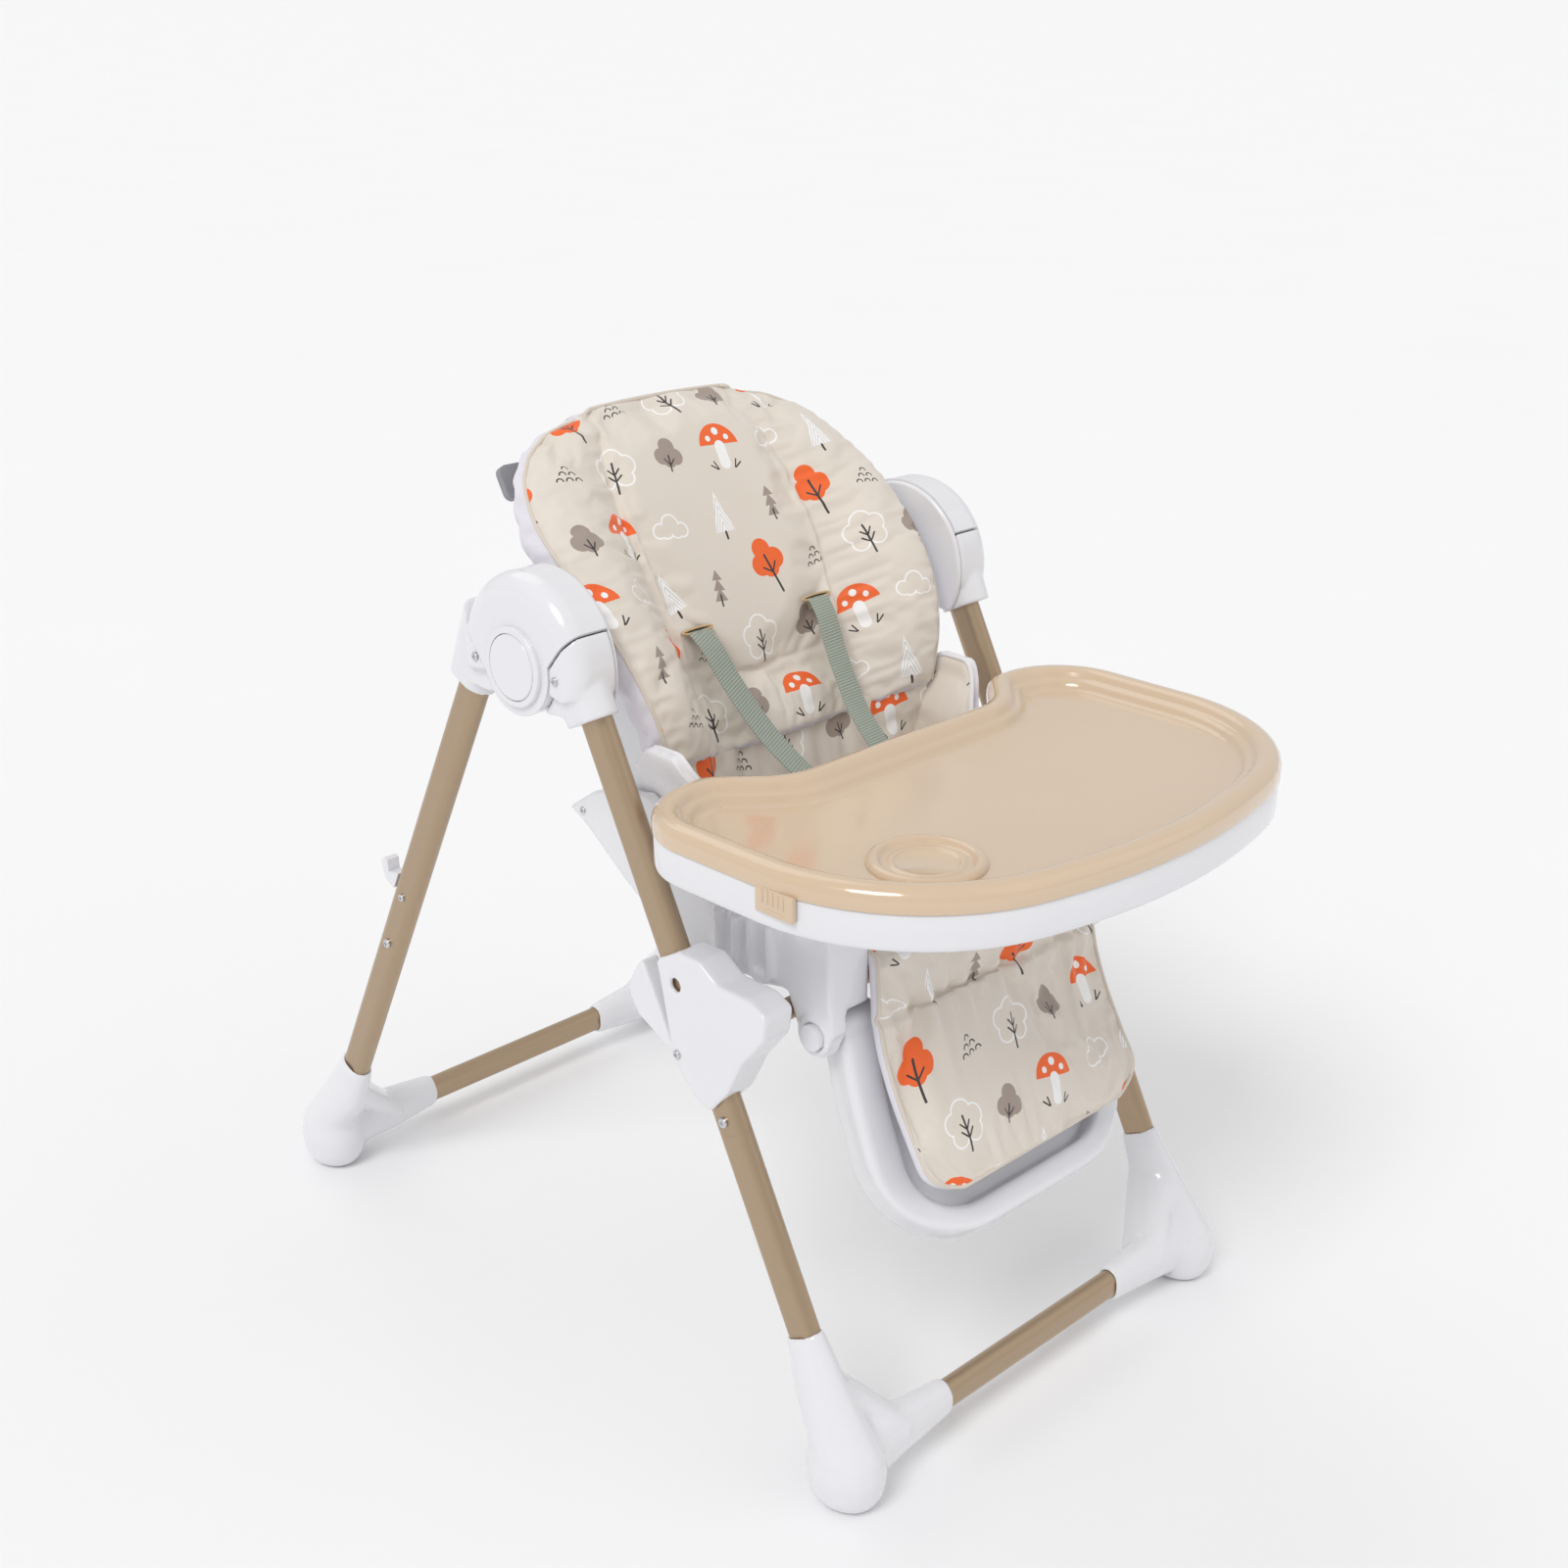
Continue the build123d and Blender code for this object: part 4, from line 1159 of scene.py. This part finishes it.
def swept(name, profile, body, material):
    """Profile of (inset, z) swept round the tray's outline, with its two ends filled flat."""
    points = [place(x - out_x * inset, y - out_y * inset, z) for inset, z in profile
              for (x, y), (out_x, out_y) in zip(TRAY_LINE, TRAY_OUT)]
    made = piece(name, points, stacked_faces(points, len(TRAY_LINE)), body, [material])
    repair_normals(made)
    made.data.set_sharp_from_angle(angle=radians(50))
    return made


INSERT_PROFILE = ((34, 601.4), (6, 600.8), (-1.2, 600.8), (-1.5, 602.5), (-1.4, 610), (-0.4, 614.5),
                  (2, 618.2), (5.5, 620.6), (10, 621.8), (15, 621.8), (19, 620.6), (22, 618),
                  (24, 614.6), (26, 613), (28.5, 612.6), (31, 611.4), (33, 608.4), (35, 605.6),
                  (38.5, 604.2), (44, 603.8))
tray_top = swept("tray_insert_bowl", INSERT_PROFILE, "tray_insert", INSERT)
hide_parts("tray_insert")
BASE_PROFILE = ((12, 592), (7.5, 588), (6.5, 572), (5.5, 568.4), (3.6, 567.2), (1.8, 567.6),
                (0.7, 569.5), (0.2, 573), (0, 582), (0, 598.5), (0.8, 600), (6, 600.2))
tray_bottom = swept("tray_base_shell", BASE_PROFILE, "tray", WHITE)
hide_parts("tray_base")


CUP_X, CUP_Y = -173, -412
CUP_PROFILE = ((38, 602.6), (51.5, 602.8), (51, 605.5), (49.4, 608.2), (46.6, 609.8), (43.2, 609.8),
               (40.6, 608.2), (39.2, 605.8), (37, 604.6), (33.5, 604.5), (31.5, 606), (29, 606.3),
               (27.4, 604.9), (26, 604.2))
cup_turns = [2 * pi * k / 72 for k in range(72)]
cup_points = [place(CUP_X + radius * cos(turn), CUP_Y + radius * sin(turn), z)
              for radius, z in CUP_PROFILE for turn in cup_turns]
cup_ring = piece("cup_ring", cup_points, stacked_faces(cup_points, len(cup_turns)), "tray_insert",
                 [INSERT])
repair_normals(cup_ring)


def side_bar(name, sign, xs, ys, zs, body, material, radius):
    """Rounded moulded bar on the side that sign gives, between two x, two y and two z."""
    corners = [(x, y, z) for x in sorted(sign * x for x in xs) for y in ys for z in zs]
    faces = [(0, 1, 3, 2), (4, 6, 7, 5), (0, 4, 5, 1), (2, 3, 7, 6), (0, 2, 6, 4), (1, 5, 7, 3)]
    made = piece(name, [place(*corner) for corner in corners], faces, body, [material])
    bevel = made.modifiers.new("round", "BEVEL")
    bevel.width = radius * MM
    bevel.segments = 3
    apply_modifiers(made)
    repair_normals(made)
    made.data.shade_smooth()
    made.data.set_sharp_from_angle(angle=radians(60))


for side, sign in SIDES:
    side_bar("tray_guide_" + side, sign, (227, 231), (-335, -190), (547, 594), "tray",
             WHITE, 1.5)
    side_bar("tray_clip_" + side, sign, (296, 302.4), (-384, -341), (580, 603), "tray_insert",
             INSERT, 2.0)
    for ridge in range(5):
        y = -374 + 6 * ridge
        side_bar(f"clip_ridge_{side}_{ridge}", sign, (301.6, 303.2), (y - 1.1, y + 1.1), (590, 602),
                 "tray_insert", INSERT, 0.6)
    side_bar("clip_grip_" + side, sign, (301.4, 302.9), (-374, -350), (583, 586), "tray_insert",
             INSERT, 0.7)

# ---- floor, light and camera ----
floor_mesh = bpy.data.meshes.new("floor")
REACH = 400.0
floor_mesh.from_pydata([(-REACH, -REACH, 0), (REACH, -REACH, 0), (REACH, REACH, 0), (-REACH, REACH, 0)],
                       [], [(0, 1, 2, 3)])
floor = add_object("floor", floor_mesh)
floor_material, floor_tree, floor_shader = new_material("pale_floor", Roughness=0.9,
                                                        Specular_IOR_Level=0.1)
paint(floor_tree, floor_shader, mix(floor_tree, noise(floor_tree, object_place(floor_tree), 1.5),
                                    srgb(247, 247, 248), srgb(245, 245, 246)))
floor_mesh.materials.append(floor_material)
floor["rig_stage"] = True

world = bpy.data.worlds.new("studio")
world.use_nodes = True
world.node_tree.nodes["Background"].inputs[0].default_value = (1.0, 1.0, 1.0, 1.0)
world.node_tree.nodes["Background"].inputs[1].default_value = 0.66
bpy.context.scene.world = world


def soft_light(name, direction, softness, strength):
    """Distant light from the given direction; softness is the angle it fills, in degrees."""
    data = bpy.data.lights.new(name, "SUN")
    data.angle = radians(softness)
    data.energy = strength
    add_object(name, data).rotation_euler = (-Vector(direction)).to_track_quat("-Z", "Y").to_euler()


soft_light("key", (-1.6, -0.5, 1.9), 24, 1.1)
soft_light("fill", (1.0, -1.5, 1.5), 60, 0.2)
soft_light("rim", (0.2, 1.3, 1.5), 40, 0.25)

camera_data = bpy.data.cameras.new("camera")
camera_data.lens = 48.36
camera_data.sensor_width = 36.0
camera = add_object("camera", camera_data)
camera.location = (-1.37552, -1.40938, 1.29924)
camera.rotation_euler = (radians(68.5), 0, radians(-44.8))
bpy.context.scene.camera = camera
bpy.context.scene.view_settings.view_transform = "Standard"

seen_low, seen_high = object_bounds()
({"cad": [list(cad_low), list(cad_high)],
           "visual": [list(seen_low), list(seen_high)]})
